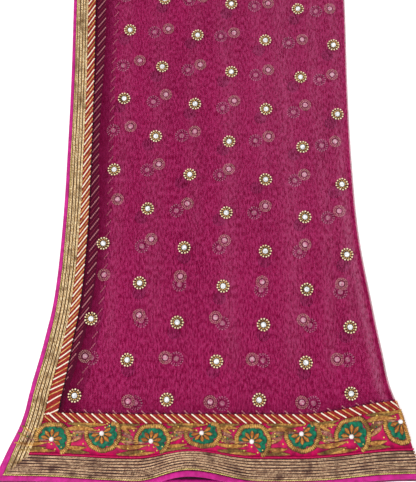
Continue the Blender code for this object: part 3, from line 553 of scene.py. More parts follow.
# The third and fourth layers' piping: the same satin painted darker, as painted shade.
PIPING_SHADED = satin_finish("maroon_satin_piping", "#8c1058", "#600a3c")
GROUND_SILK = satin_finish("hot_pink_dupion", "#d00058", "#80003a")
LINING = thread_finish("maroon_cotton_lining", "#3c0624", "#260214", roughness=0.8)
LINING_LOW = thread_finish("wine_cotton_lining", "#700638", "#50042a", roughness=0.8)
BACK_PALE = thread_finish("ribbon_back_cream", "#ffc0c0", "#d8888c", roughness=0.7)
BACK_DEEP = thread_finish("ribbon_back_red", "#9c3c4c", "#7c2438", roughness=0.7)
ZARI_GROUND = thread_finish("brown_zari_ground", "#4c302c", "#2c1820", roughness=0.7)
SIDE_GROUND = thread_finish("gilt_zari_ground", "#7c5c38", "#4c3422", roughness=0.7)
SIDE_GOLD = laid_finish("gilt_zari_thread", "#f8e0b4", "#c49c66", "#906c44")
END_GOLD = laid_finish("antique_zari_thread", "#dcb894", "#a47c60", "#6c4838")
LEMON_GOLD = laid_finish("lemon_gilt_thread", "#ecd888", "#bca45c", "#8c7840")
CORD_PINK = thread_finish("pink_silk_cord", "#cc0c58", "#94083c", roughness=0.5)
EDGE_BROWN = thread_finish("dark_brown_outline", "#5c3420", "#34180e", roughness=0.6)
# Dark thread that stands for shade: painted shadow along the side ribbon's inner edge, over the dark lining
# behind it, and painted shade between the top motifs' beads.
SHADE_DARK = thread_finish("dark_edge_thread", "#3c1226", "#200814", roughness=0.7)
RIBBON_RED = thread_finish("brick_red_thread", "#a82826", "#7c1614", roughness=0.6)
RIBBON_GOLD = laid_finish("gilt_ribbon_cord", "#eec07c", "#c4843c", "#946028")
RIBBON_CREAM = thread_finish("cream_cotton_cord", "#fbf3e0", "#e2d4b8", roughness=0.6)
EMERALD = thread_finish("emerald_floss", "#027c58", "#01342a", roughness=0.45, scale=260.0)
RUST = thread_finish("rust_floss", "#b4501c", "#782c10", roughness=0.5)
BRONZE = laid_finish("bronze_gilt_coil", "#e4ac5c", "#a8702c", "#704018")
AMBER = laid_finish("amber_gilt_coil", "#dca04c", "#b06c2c", "#90441c")
OLIVE = laid_finish("olive_gilt_thread", "#b08c48", "#7c5c2c", "#503818")
ROSE_GILT = laid_finish("rose_gilt_thread", "#d09c80", "#985c54", "#5c2c34")
STONE = glass_finish("foil_backed_glass", "#ffffff", "#b8bcc0")
PEARL = glass_finish("glass_pearl", "#fbf8f6", "#d8d2d0", roughness=0.25)
BEAD_GOLD = glass_finish("pale_gilt_bead", "#fff2cc", "#e8c890", roughness=0.3, metallic=0.05)
BEAD_YELLOW = glass_finish("yellow_gilt_bead", "#f4dc70", "#cca43c", roughness=0.3, metallic=0.1)
BEAD_BRONZE = laid_finish("bronze_seed_bead", "#dcb070", "#a4783c", "#6c4820")
GHOST_THREAD = thread_finish("rose_back_thread", "#f4c8b8", "#c88c84", roughness=0.7)
GHOST_BEAD = glass_finish("rose_bead", "#fff0f4", "#f4b4c8", roughness=0.3)
GHOST_STONE = glass_finish("stone_back", "#fff0f4", "#d87c9c", roughness=0.3)
FLOOR = start_finish("white_paper", Base_Color=colour("#f6f5f3"), Roughness=0.9,
                     Emission_Color=colour("#ffffff"), Emission_Strength=0.35)[0]


# Meshes


def keep(name, mesh, finish=None):
    """Object of a finished mesh."""
    if finish is not None:
        mesh.materials.append(finish)
    piece = bpy.data.objects.new(name, mesh)
    bpy.context.collection.objects.link(piece)
    return piece


def grid_mesh(name, points, closed_across=False, capped=False):
    """Mesh through rows of points, which may close round its columns and be capped at its ends."""
    rows, columns = points.shape[:2]
    index = np.arange(rows * columns).reshape(rows, columns)
    right = np.roll(index, -1, axis=1) if closed_across else index[:, 1:]
    left = index if closed_across else index[:, :-1]
    quads = np.stack((left[:-1], right[:-1], right[1:], left[1:]), axis=-1).reshape(-1, 4)
    faces = [tuple(quad) for quad in quads.tolist()]
    if capped:
        faces.append(tuple(index[0][::-1].tolist()))
        faces.append(tuple(index[-1].tolist()))
    mesh = bpy.data.meshes.new(name)
    mesh.from_pydata(points.reshape(-1, 3).tolist(), [], faces)
    mesh.shade_smooth()
    return mesh


def turn_outwards(mesh):
    """Closed mesh with its faces pointing out."""
    maker = bmesh.new()
    maker.from_mesh(mesh)
    bmesh.ops.recalc_face_normals(maker, faces=maker.faces)
    maker.to_mesh(mesh)
    maker.free()
    return mesh


def band_piece(name, across, heights, first, last, rows, point, finish):
    """Closed strip: across and heights give its top from edge to edge, first and last its
    ends at each place across, and rows how many lines run across it."""
    across = np.asarray(across, float)
    heights = np.asarray(heights, float)
    share = rows[:, None]
    distances = first[None, :] * (1.0 - share) + last[None, :] * share
    top, _ = point(across[None, :], distances, heights[None, :])
    edges = [0, -1]
    under, _ = point(across[None, edges], distances[:, edges], SEWN_SEAT)
    points = np.concatenate((top, under[:, ::-1]), axis=1)
    return keep(name, turn_outwards(grid_mesh(name, points, closed_across=True, capped=True)), finish)


# Trees that grow what repeats


SOCKETS = {float: "NodeSocketFloat", int: "NodeSocketInt", type(None): "NodeSocketMaterial"}


def start_tree(name, inputs):
    """Geometry Nodes tree with its named inputs and their first values."""
    tree = bpy.data.node_groups.new(name, "GeometryNodeTree")
    tree.interface.new_socket(name="Geometry", in_out="INPUT", socket_type="NodeSocketGeometry")
    for label, value in inputs.items():
        socket = tree.interface.new_socket(name=label, in_out="INPUT", socket_type=SOCKETS[type(value)])
        if value is not None:
            socket.default_value = value
    tree.interface.new_socket(name="Geometry", in_out="OUTPUT", socket_type="NodeSocketGeometry")
    return tree, tree.nodes.new("NodeGroupInput").outputs


def sum_of(tree, operation, first, second, third=0.0):
    """Result of a sum on numbers or links."""
    return add(tree, "ShaderNodeMath", {"operation": operation}, i0=first, i1=second, i2=third).outputs[0]


def facing_of(tree):
    """The way out that a carrier mesh gives at each of its points."""
    return add(tree, "GeometryNodeInputNamedAttribute", {"data_type": "FLOAT_VECTOR"},
               Name="facing").outputs["Attribute"]


def end_tree(tree, geometry, finish):
    """Realized instances in one material, smooth, as the tree's result."""
    real = add(tree, "GeometryNodeRealizeInstances", None, Geometry=geometry)
    smooth = add(tree, "GeometryNodeSetShadeSmooth", None, Geometry=real.outputs[0])
    painted = add(tree, "GeometryNodeSetMaterial", None, Geometry=smooth.outputs[0], Material=finish)
    add(tree, "NodeGroupOutput", None, Geometry=painted.outputs[0])


def ring_tree():
    """A ring of domed beads round each point, lying square to its facing."""
    tree, given = start_tree("bead_ring", {
        "Ring Radius": 0.0075, "Beads": 14, "Bead Radius": 0.0012, "Flatness": 0.8, "Unevenness": 0.0003,
        "Seed": 1, "Sides": 7, "Rings": 4, "Finish": None})
    turn = add(tree, "FunctionNodeAlignRotationToVector", {"axis": "Z"}, Vector=facing_of(tree))
    ring = add(tree, "GeometryNodeMeshCircle", None, Vertices=given["Beads"], Radius=given["Ring Radius"])
    rings = add(tree, "GeometryNodeInstanceOnPoints", None, Points=given["Geometry"],
                Instance=ring.outputs["Mesh"], Rotation=turn.outputs["Rotation"])
    places = add(tree, "GeometryNodeRealizeInstances", None, Geometry=rings.outputs["Instances"])
    minus = sum_of(tree, "MULTIPLY", given["Unevenness"], -1.0)
    shift = add(tree, "FunctionNodeRandomValue", {"data_type": "FLOAT_VECTOR"}, i0=minus,
                i1=given["Unevenness"], Seed=given["Seed"])
    moved = add(tree, "GeometryNodeSetPosition", None, Geometry=places.outputs[0], Offset=shift.outputs[0])
    bead = add(tree, "GeometryNodeMeshUVSphere", None, Segments=given["Sides"], Rings=given["Rings"],
               Radius=given["Bead Radius"])
    flat = add(tree, "ShaderNodeCombineXYZ", None, X=1.0, Y=1.0, Z=given["Flatness"])
    beads = add(tree, "GeometryNodeInstanceOnPoints", None, Points=moved.outputs[0],
                Instance=bead.outputs["Mesh"], Scale=flat.outputs[0])
    end_tree(tree, beads.outputs["Instances"], given["Finish"])
    return tree


def link_tree():
    """Slanted links laid one after another along each line, as in a twisted or coiled cord."""
    tree, given = start_tree("laid_links", {
        "Step": 0.001, "Length": 0.0016, "Width": 0.0006, "Height": 0.0006, "Slant": 0.6, "Unevenness": 0.15,
        "Seed": 1, "Sides": 5, "Rings": 3, "Finish": None})
    path = add(tree, "GeometryNodeMeshToCurve", None, Mesh=given["Geometry"])
    steps = add(tree, "GeometryNodeResampleCurve", {"mode": "LENGTH"}, Curve=path.outputs[0],
                Length=given["Step"])
    tangent = add(tree, "GeometryNodeInputTangent")
    ahead = add(tree, "FunctionNodeAlignRotationToVector", {"axis": "X"}, Vector=tangent.outputs[0])
    upright = add(tree, "FunctionNodeAlignRotationToVector", {"axis": "Z", "pivot_axis": "X"},
                  Rotation=ahead.outputs[0], Vector=facing_of(tree))
    low = sum_of(tree, "SUBTRACT", 1.0, given["Unevenness"])
    high = sum_of(tree, "ADD", 1.0, given["Unevenness"])
    uneven = add(tree, "FunctionNodeRandomValue", {"data_type": "FLOAT"}, i2=low, i3=high,
                 Seed=given["Seed"]).outputs[1]
    turn = add(tree, "ShaderNodeCombineXYZ", None, Z=sum_of(tree, "MULTIPLY", given["Slant"], uneven))
    spin = add(tree, "FunctionNodeEulerToRotation", None, Euler=turn.outputs[0])
    turned = add(tree, "FunctionNodeRotateRotation", {"rotation_space": "LOCAL"},
                 Rotation=upright.outputs[0], Rotate_By=spin.outputs[0])
    link = add(tree, "GeometryNodeMeshUVSphere", None, Segments=given["Sides"], Rings=given["Rings"],
               Radius=1.0)
    size = add(tree, "ShaderNodeCombineXYZ", None, X=sum_of(tree, "MULTIPLY", given["Length"], uneven),
               Y=given["Width"], Z=given["Height"])
    links = add(tree, "GeometryNodeInstanceOnPoints", None, Points=steps.outputs[0],
                Instance=link.outputs["Mesh"], Rotation=turned.outputs[0], Scale=size.outputs[0])
    end_tree(tree, links.outputs["Instances"], given["Finish"])
    return tree


def grow(name, carrier, tree, **sizes):
    """Plain mesh piece that a tree grows on a carrier mesh."""
    holder = bpy.data.objects.new(name + "_carrier", carrier)
    bpy.context.collection.objects.link(holder)
    modifier = holder.modifiers.new("grown", "NODES")
    modifier.node_group = tree
    for item in tree.interface.items_tree:
        if item.in_out == "INPUT" and item.name.replace(" ", "_") in sizes:
            modifier[item.identifier] = sizes[item.name.replace(" ", "_")]
    bpy.context.view_layer.update()
    settled = holder.evaluated_get(bpy.context.evaluated_depsgraph_get())
    mesh = bpy.data.meshes.new_from_object(settled)
    bpy.data.objects.remove(holder)
    mesh.name = name
    return keep(name, mesh)


def carrier_mesh(name, points, edges, facing):
    """Points and edges, with the way out at each point."""
    mesh = bpy.data.meshes.new(name)
    mesh.from_pydata(points, edges, [])
    mesh.attributes.new("facing", "FLOAT_VECTOR", "POINT").data.foreach_set(
        "vector", np.array(facing, np.float32).reshape(-1))
    return mesh


RING = ring_tree()
LINK = link_tree()

# Links of a cord in millimetres: the step between them, their size, their slant in
# radians, the seed and share of their unevenness, and their faces
Laid = namedtuple("Laid", "step length width height slant seed uneven sides rings", defaults=(0.15, 5, 3))


def laid(name, lines, finish, form):
    """Links laid along lines."""
    points = []
    facing = []
    edges = []
    for place, out in lines:
        start = len(points)
        points.extend(place.tolist())
        facing.extend(out.tolist())
        edges.extend((start + i, start + i + 1) for i in range(len(place) - 1))
    return grow(name, carrier_mesh(name, points, edges, facing), LINK, Step=form.step * METRES,
                Length=form.length * METRES, Width=form.width * METRES, Height=form.height * METRES,
                Slant=form.slant, Unevenness=form.uneven, Seed=form.seed, Sides=form.sides, Rings=form.rings,
                Finish=finish)


def bead_rings(name, places, facing, finish, radius, beads, size, flat, seed, uneven=0.2, sides=5, rings=3):
    """Rings of beads round places; sizes in millimetres."""
    return grow(name, carrier_mesh(name, places.tolist(), [], facing), RING, Ring_Radius=radius * METRES,
                Beads=beads, Bead_Radius=size * METRES, Flatness=flat, Unevenness=uneven * METRES, Seed=seed,
                Sides=sides, Rings=rings, Finish=finish)


def dome_mesh(name, places, facing, radius, height, sides, rings, finish, turn=0.0):
    """Low domes, one over each point, such as cut stones or pearls; sizes in millimetres."""
    corners = []
    faces = []
    for centre, out in zip(places, facing):
        up = Vector(out).normalized()
        east = up.orthogonal().normalized()
        north = up.cross(east)
        start = len(corners)
        base = Vector(centre)
        for ring in range(rings):
            angle = math.pi / 2 * ring / rings
            for side in range(sides):
                around = 2 * math.pi * (side + turn * ring) / sides
                flat = radius * METRES * math.cos(angle)
                corners.append(base + east * flat * math.cos(around) + north * flat * math.sin(around)
                               + up * height * METRES * math.sin(angle))
        corners.append(base + up * height * METRES)
        for ring in range(rings - 1):
            for side in range(sides):
                follow = (side + 1) % sides
                low = start + ring * sides
                faces.append((low + side, low + follow, low + sides + follow, low + sides + side))
        last = start + (rings - 1) * sides
        for side in range(sides):
            faces.append((last + side, last + (side + 1) % sides, start + rings * sides))
        faces.append(tuple(start + side for side in reversed(range(sides))))
    mesh = bpy.data.meshes.new(name)
    mesh.from_pydata([tuple(corner) for corner in corners], [], faces)
    return keep(name, turn_outwards(mesh), finish)


# Pieces


def net_tone(x, distance):
    """How pale or deep the top net reads: 0.5 is its own dye, 1 pale, 0 deep. A painted highlight makes it
    paler where it bends towards the fold on the right and on its creases, and painted shade makes it deeper
    beside the side ribbon and the hem ribbon; it is also deeper along a line 3.4 mm inside the fold and in a
    patch at the fold's edge, and a little paler towards the right and the far end."""
    inside = panel_right(distance) - x
    near = smooth_step((500.0 - distance) / 300.0)
    # Painted highlight where the net bends towards the fold.
    bend = 0.5 * near * np.exp(-((inside - 11.0) / 5.5) ** 2)
    line = 0.42 * near * np.exp(-((inside - 3.4) / 1.4) ** 2)
    patch = 0.5 * smooth_step((distance - 110.0) / 5.0) * smooth_step((138.0 - distance) / 5.0)
    drift = 0.10 * smooth_step((x + 40.0) / 160.0) * smooth_step((distance - 120.0) / 400.0)
    # Painted highlight on the tops of the creases.
    wear_and_sheen = 0.12 * crease(x, distance)
    # Painted shade on the net beside the side ribbon and the hem ribbon.
    beside = (x - along(SECTIONS, "left", distance)) / border_scale(distance) - SIDE_RIBBON.end
    shade = 0.5 * smooth_step((30.0 - beside) / 18.0) + 0.2 * smooth_step((100.0 - distance) / 16.0)
    return np.clip(0.5 + bend - line - patch * (inside < 3.0) + drift + wear_and_sheen - shade, 0.0, 1.0)


def veil_top():
    """Top layer of the net, round both folds, with its soft creases."""
    columns = stretches((0.0, 0.925, 92), (0.925, 1.0, 26), (1.0, FOLD_END, 9))
    rows = stretches((HEM_PIPING.end, FINE_TO, 36), (FINE_TO, FAR_START, 215),
                     (FAR_START, FAR_START + FAR_SPAN, 13))
    points, _ = top_point(columns[None, :], rows[:, None], -0.3)
    mesh = grid_mesh("net_first_layer", points)
    flat = np.minimum(rows, FAR_START)[:, None]
    x = panel_left(flat) + np.minimum(columns, 1.0)[None, :] * (panel_right(flat) - panel_left(flat))
    tone = net_tone(x, flat).astype(np.float32).reshape(-1)
    mesh.attributes.new("tone", "FLOAT", "POINT").data.foreach_set("value", tone)
    return keep("net_first_layer", mesh, NET_TOP)


def veil_under(name, layer, finish):
    """One hidden layer of the net."""
    rows = stretches((layer.hem + 2.0, FINE_TO, 30), (FINE_TO, FAR_START, 150))
    shares = np.linspace(0.0, 1.0, 74)[None, :]
    distance = rows[:, None]
    left = layer_left(layer, distance)
    right = panel_right(distance) - layer.fold
    points, _ = under_point(layer, left + (right - left) * shares, distance)
    if layer is FOURTH:
        radius = (THIRD.height - FOURTH.height) / 2
        turns = np.linspace(0.0, math.pi, 9)[None, 1:]
        turned = np.repeat(points[:, -1:, :], turns.shape[1], axis=1)
        turned[..., 0] += radius * np.sin(turns) * METRES
        turned[..., 2] += radius * (1.0 - np.cos(turns)) * METRES
        points = np.concatenate((points, turned), axis=1)
    if layer is SECOND:
        radius = (SECOND.height - THIRD.height) / 2
        turns = np.linspace(0.0, math.pi, 9)[1:, None]
        turned = np.repeat(points[-1:, :, :], turns.shape[0], axis=0)
        turned[..., 1] += radius * np.sin(turns) * METRES
        turned[..., 2] -= radius * (1.0 - np.cos(turns)) * METRES
        points = np.concatenate((points, turned), axis=0)
    return keep(name, grid_mesh(name, points), finish)


def piping_ring(heights):
    """Round profile of a piping: shares of its width, and heights."""
    angles = np.linspace(0.0, 2 * math.pi, 13)[:-1]
    return 0.5 - 0.5 * np.cos(angles), heights * np.sin(angles)


def piping():
    """Satin piping down the side edge, round the corner and along the hem."""
    across, heights = piping_ring(1.15)
    rings = []
    puckers = random.Random(11)
    for distance in stretches((SIDE_END, FAR_START, 7), (FAR_START, 8.0, 330)):
        rings.append(side_point(SIDE_PIPING.end * across, distance, heights * puckers.uniform(0.92, 1.06))[0])
    corner = HEM_PIPING.end * across
    rings.append(side_point(SIDE_PIPING.end * across, corner, heights)[0])
    start = float(from_border(24.0, HEM_PIPING.end))
    for share in stretches((start, 1.0, 170), (1.0, FOLD_END, 7)):
        rings.append(top_point(share, HEM_PIPING.end * across, heights * puckers.uniform(0.94, 1.05))[0])
    mesh = turn_outwards(grid_mesh("piping_first_layer", np.array(rings), closed_across=True, capped=True))
    return keep("piping_first_layer", mesh, PIPING_SILK)


def under_piping(name, layer, finish):
    """Piping round a hidden layer's side edge and hem."""
    across, heights = piping_ring(0.95)
    width = 5.0
    rings = []
    for distance in np.linspace(FAR_START, layer.hem + width, 200):
        x = layer_left(layer, distance) - width * (1.0 - across) * border_scale(distance)
        rings.append(under_point(layer, x, distance, heights)[0])
    distance = layer.hem + width * across
    left = layer_left(layer, distance)
    rings.append(under_point(layer, left - width * (1.0 - across), distance, heights)[0])
    for share in np.linspace(0.03, 1.0, 130):
        x = left + (panel_right(distance) - layer.fold - left) * share
        rings.append(under_point(layer, x, distance, heights)[0])
    mesh = turn_outwards(grid_mesh(name, np.array(rings), closed_across=True, capped=True))
    return keep(name, mesh, finish)


def hem_point(across, share, height):
    """Points over the hem border, by share of the panel's width."""
    return top_point(share, across, height)


def rib_profile(band, ribs):
    """Places across a ribbed ground and their heights."""
    across = [band.start]
    heights = [GROOVE]
    for rib in ribs:
        width = rib.end - rib.start
        across += [rib.start + width * share for share in (0.05, 0.3, 0.7, 0.95)]
        heights += [GROOVE, RIDGE, RIDGE, GROOVE]
    return np.array(across + [band.end]), np.array(heights + [GROOVE])


def side_mitre(place, side, hem, slope):
    """Where a side band starts at each place across, behind its mitre with the hem's band."""
    return hem.start + SEAM + (place - side.start) * slope


def hem_mitre(place, side, hem, slope):
    """Where a hem band starts at each place across, beside its mitre with the side's band."""
    return from_border(side.start + SEAM + (place - hem.start) / slope, place)


def side_run(place, height, phase):
    """One thread laid down the side band from its mitre, a little uneven."""
    distance = np.linspace(side_mitre(place, SIDE_ZARI, HEM_ZARI, MITRE), FAR_START + FAR_SPAN / 2, 300)
    sway = 0.25 * np.sin(distance / 17.0 + phase) * np.sin(distance / 61.0 + 2.3 * phase)
    return side_point(place + sway, distance, height)


def hem_run(place, height, phase):
    """One thread laid along the hem band from its mitre, a little uneven."""
    start = float(hem_mitre(place, SIDE_ZARI, HEM_ZARI, MITRE))
    share = stretches((start, FOLD_NEAR, 180), (FOLD_NEAR, FOLD_END, 14))
    sway = 0.35 * np.sin(share * 31.0 + phase) * np.sin(share * 11.0 + 1.7 * phase)
    return hem_point(place + sway, share, height)


def rib_threads(ribs, run, seed):
    """Threads laid side by side over each rib."""
    chance = random.Random(seed)
    lines = []
    for rib in ribs:
        for number in range(rib.threads):
            share = (number + 0.5) / rib.threads
            height = RIDGE + 0.45 * math.sin(math.pi * share) + chance.uniform(-0.08, 0.08)
            lines.append(run(rib.start + (rib.end - rib.start) * share, height, chance.uniform(0.0, 6.3)))
    return lines


def side_band(name, place, heights, slope, side, hem, finish):
    """Strip down the side border from its mitre to the far fold."""
    first = side_mitre(place, side, hem, slope)
    return band_piece(name, place, heights, first, np.full(len(place), SIDE_END), np.linspace(0.0, 1.0, 330),
                      side_point, finish)


def hem_band(name, place, heights, first, finish, rows=180, fold_rows=10):
    """Strip along the hem from its start at each place across, round the fold on the right."""
    steps = stretches((0.0, FOLD_NEAR, rows), (FOLD_NEAR, 1.0, fold_rows))
    return band_piece(name, place, heights, first, np.full(len(place), FOLD_END), steps, hem_point, finish)


def hem_strip(name, band, heights, side_start, finish):
    """Straight strip along the hem, from under the side border round the fold."""
    across = np.linspace(band.start, band.end, len(heights))
    return hem_band(name, across, heights, from_border(side_start, across), finish)


def zari_bands():
    """Ribbed metal-thread bands down the side and along the hem, mitred at the corner."""
    place, heights = rib_profile(SIDE_ZARI, SIDE_RIBS)
    side = side_band("side_zari_ground", place, heights, MITRE, SIDE_ZARI, HEM_ZARI, SIDE_GROUND)
    place, heights = rib_profile(HEM_ZARI, HEM_RIBS)
    start = hem_mitre(place, SIDE_ZARI, HEM_ZARI, MITRE)
    end = hem_band("end_zari_ground", place, heights, start, ZARI_GROUND, 200, 12)
    lemon = rib_threads(SIDE_RIBS[:1], side_run, 7) + rib_threads(HEM_RIBS[:1], hem_run, 8)
    threads = [
        laid("side_zari_threads", rib_threads(SIDE_RIBS[1:], side_run, 3), SIDE_GOLD,
             Laid(3.3, 2.5, 0.74, 0.6, 0.12, 3, 0.25, rings=4)),
        laid("end_zari_threads", rib_threads(HEM_RIBS[1:], hem_run, 5), END_GOLD,
             Laid(2.9, 2.3, 0.6, 0.55, 0.1, 5, 0.3, rings=4)),
        laid("lemon_edge_threads", lemon, LEMON_GOLD, Laid(2.6, 2.0, 0.7, 0.6, 0.3, 6)),
    ]
    return side, end, threads


def ribbon_cords():
    """Slanted cords of both ribbons, as lines by colour."""
    lines = {"cream": [], "red": [], "gold": []}
    chance = random.Random(17)
    width = SIDE_RIBBON.end - SIDE_RIBBON.start
    start = HEM_RIBBON.end - SIDE_CORD_RISE / 4
    number = 0
    while start < FAR_START - 4.0:
        kind = CORD_ORDER[number % 4]
        share = np.linspace(0.0, 1.0, 7)
        across = SIDE_RIBBON.start + 0.4 + (width - 0.8) * share
        rise = SIDE_CORD_RISE * (0.5 + 0.5 * float(smooth_step((start - 80.0) / 130.0)))
        low = HEM_RIBBON.end - 1.5 + 0.1 * (across - SIDE_RIBBON.start)
        lines[kind].append(side_point(across, np.maximum(start + rise * share, low), CORD_HEIGHT))
        pitch = SIDE_CORD_PITCH + SIDE_CORD_SPREAD * float(smooth_step((start - 250.0) / 250.0))
        start += pitch / 4 * chance.uniform(0.9, 1.1)
        number += 1
    x = float(along(SECTIONS, "left", 74.0)) + 14.0
    last = float(panel_right(70.0)) + 3.0
    number = 0
    while x < last:
        kind = CORD_ORDER[number % 4]
        share = np.linspace(0.0, 1.0, 6)
        distance = HEM_RIBBON.end - 0.4 - (HEM_RIBBON.end - HEM_RIBBON.start - 0.8) * share
        over = (SIDE_RIBBON.start + 0.8) * border_scale(distance)
        place = np.maximum(x + END_CORD_RUN * share, along(SECTIONS, "left", distance) + over)
        place = np.minimum(place, panel_right(distance) + 0.5)
        if place[-1] - place[0] > 2.0:
            lines[kind].append(plan_point(place, distance, CORD_HEIGHT))
        x += END_CORD_PITCH / 4 * chance.uniform(0.9, 1.1)
        number += 1
    return lines


def ribbons():
    """Brick-red ribbons with slanted cords in cream, red and gilt."""
    flat = np.full(5, RIBBON_HEIGHT)
    place = np.linspace(SIDE_RIBBON.start, SIDE_RIBBON.end, 5)
    side = side_band("side_ribbon_ground", place, flat, RIBBON_MITRE, SIDE_RIBBON, HEM_RIBBON, RIBBON_RED)
    place = np.linspace(HEM_RIBBON.start, HEM_RIBBON.end, 5)
    start = hem_mitre(place, SIDE_RIBBON, HEM_RIBBON, RIBBON_MITRE)
    end = hem_band("end_ribbon_ground", place, flat, start, RIBBON_RED)
    lines = ribbon_cords()
    cords = []
    for kind, finish, thick in (("cream", RIBBON_CREAM, 1.0), ("gold", RIBBON_GOLD, 0.85),
                                ("red", RIBBON_RED, 1.0)):
        form = Laid(1.6, 1.7, thick, 0.6, 0.3, 4, 0.12)
        cords.append(laid("ribbon_cords_" + kind, lines[kind], finish, form))
    # Dark line along the ribbon's inner edge: painted shadow where the ribbon meets the net, with the dark
    # lining behind it.
    rows = np.linspace(HEM_RIBBON.end + 0.5, FAR_START + FAR_SPAN * 0.6, 260)
    cords.append(laid("ribbon_edge_thread", [side_point(SIDE_RIBBON.end + 0.7, rows, 0.3)], SHADE_DARK,
                      Laid(2.4, 1.8, 0.75, 0.5, 0.1, 2)))
    return side, end, cords


def lattice(first, last, reach):
    """Places of the whole net's motif lattice in some rows, as plan X and distance from the hem."""
    places = []
    for row in range(first, last):
        distance = MOTIF_FIRST_ROW + MOTIF_ROW_PITCH * row + MOTIF_ROW_GROWTH * row * abs(row)
        middle = along(SECTIONS, "column", distance)
        pitch = along(SECTIONS, "pitch", distance)
        shift = 0.5 if row % 2 == 0 else 0.0
        for column in range(-reach, reach + 1):
            places.append((float(middle + (column + shift) * pitch), distance))
    return places


def motif_places():
    """Middles of the top layer's motifs as plan X and distance from the hem."""
    places = []
    for x, distance in lattice(0, MOTIF_ROWS, 3):
        inside = along(SECTIONS, "left", distance) + SIDE_RIBBON.end * border_scale(distance)
        if inside + MOTIF_CLEARANCE < x < panel_right(distance) - MOTIF_CLEARANCE:
            places.append((x, distance))
    return np.array(places)


def shift_at(rows, way, distance):
    """How far a hidden layer's motifs are shifted at a distance from the hem."""
    return float(np.interp(distance, [row.from_hem for row in rows], [getattr(row, way) for row in rows]))


def hidden_places(layer):
    """Middles of a hidden layer's motifs: its lattice lies shifted under the top one's."""
    kept = []
    chance = random.Random(5)
    for x, distance in lattice(-2, MOTIF_ROWS + 1, 4):
        stray = (chance.uniform(-1.5, 1.5), chance.uniform(-1.5, 1.5))
        left = float(smooth_step((-90.0 - x) / 50.0)) - float(smooth_step((x - 90.0) / 45.0))
        second = (x + shift_at(SECOND_SHIFTS, "across", distance) + 10.0 * left,
                  distance + shift_at(SECOND_SHIFTS, "back", distance))
        if layer is SECOND:
            spot = (second[0] + stray[0], second[1] + stray[1])
        elif layer is THIRD:
            spot = (second[0] + shift_at(THIRD_SHIFTS, "across", distance) - 6.0 * max(0.0, left) + stray[0],
                    second[1] + shift_at(THIRD_SHIFTS, "back", distance) + stray[1])
        else:
            spot = (x + shift_at(FOURTH_SHIFTS, "across", distance) + 2.0 * stray[0],
                    distance + shift_at(FOURTH_SHIFTS, "back", distance) + stray[1])
        low = layer_left(SECOND, spot[1]) + 38.0 * border_scale(spot[1])
        high = panel_right(spot[1]) - layer.fold - 7.0
        if low < spot[0] < high and 84.0 < spot[1] < FAR_START - 10.0:
            kept.append(spot)
    return np.array(kept)


def top_motifs():
    """Round motifs of the top layer: a foil-backed stone, a gilt ring and a ring of beads."""
    spots = motif_places()
    middle, out = plan_point(spots[:, 0], spots[:, 1], 0.3)
    raised, _ = plan_point(spots[:, 0], spots[:, 1], 0.9)
    low, _ = plan_point(spots[:, 0], spots[:, 1], 0.05)
    # The dark disc under each motif shows only between its beads: painted shade.
    return [dome_mesh("motif_stones", middle, out, 3.5, 2.8, 8, 3, STONE, turn=0.5),
            bead_rings("motif_outer_beads", raised, out, BEAD_GOLD, 7.0, 13, 1.15, 0.9, 2, sides=7, rings=4),
            bead_rings("motif_inner_beads", raised, out, BEAD_BRONZE, 4.7, 11, 1.2, 0.8, 3, sides=6, rings=4),
            dome_mesh("motif_backs", low, out, 7.2, 0.5, 16, 2, SHADE_DARK)]


def hidden_motifs():
    """Motifs of the hidden layers, seen through the net above them."""
    made = []
    for name, layer, finish, back, rings in (
            ("second", SECOND, GHOST_THREAD, 7.6, ((7.0, 22, 0.85), (5.2, 16, 0.9))),
            ("third", THIRD, GHOST_BEAD, 8.4, ((7.9, 16, 0.95), (6.2, 13, 0.7)))):
        spots = hidden_places(layer)
        middle, out = under_point(layer, spots[:, 0], spots[:, 1], 0.35)
        made.append(dome_mesh("motif_stones_" + name, middle, out, 3.2, 1.1, 8, 2, GHOST_STONE))
        for number, (radius, beads, size) in enumerate(rings):
            made.append(bead_rings("motif_ring%d_%s" % (number, name), middle, out, finish, radius, beads,
                                   size, 0.5, 7 + number))
        low, _ = under_point(layer, spots[:, 0], spots[:, 1], 0.1)
        made.append(dome_mesh("motif_back_" + name, low, out, back, 0.25, 16, 2, LINING))
    # Dark discs on the third layer at the fourth lattice's places: the fourth layer's motif backs, and
    # painted shadow of the top motifs, lying about 12 mm nearer the hem than them.
    spots = hidden_places(FOURTH)
    middle, out = under_point(THIRD, spots[:, 0], spots[:, 1], 0.15)
    made.append(dome_mesh("motif_back_fourth", middle, out, 8.2, 0.4, 16, 2, LINING))
    return made


def flower_spots():
    """Middle of each flower on the band, and whether it opens up or down."""
    spots = []
    for number in range(FLOWER_COUNT):
        middle, facing = ((FLOWER_LOW, 1.0), (FLOWER_HIGH, -1.0))[number % 2]
        spots.append((FLOWER_FIRST + FLOWER_PITCH * number, middle, facing))
    return spots


def on_band(x, distance, height):
    """Points over the embroidered band, held inside its edges and the fold."""
    held = np.clip(distance, HEM_EMBROIDERY.start + 0.9, HEM_EMBROIDERY.end - 0.7)
    return plan_point(np.minimum(x, panel_right(held) + 0.3), held, height)


def fan_angle(share):
    """Angle round a flower's pearl, from its left over its top to its lower right."""
    return FAN_FIRST - FAN_SWEEP * share


def fan_reach(angle, spot, reach):
    """How far a fan's form may reach at an angle before the band's edge stops it."""
    x, middle, facing = spot
    room = HEM_EMBROIDERY.end - 1.0 - middle if facing > 0 else middle - HEM_EMBROIDERY.start - 1.4
    rise = np.maximum(np.sin(angle), 0.05)
    side = 1.0 + 0.07 * np.cos(angle)
    return np.minimum(reach * side, np.where(np.sin(angle) > 0.05, room / rise, reach * side))


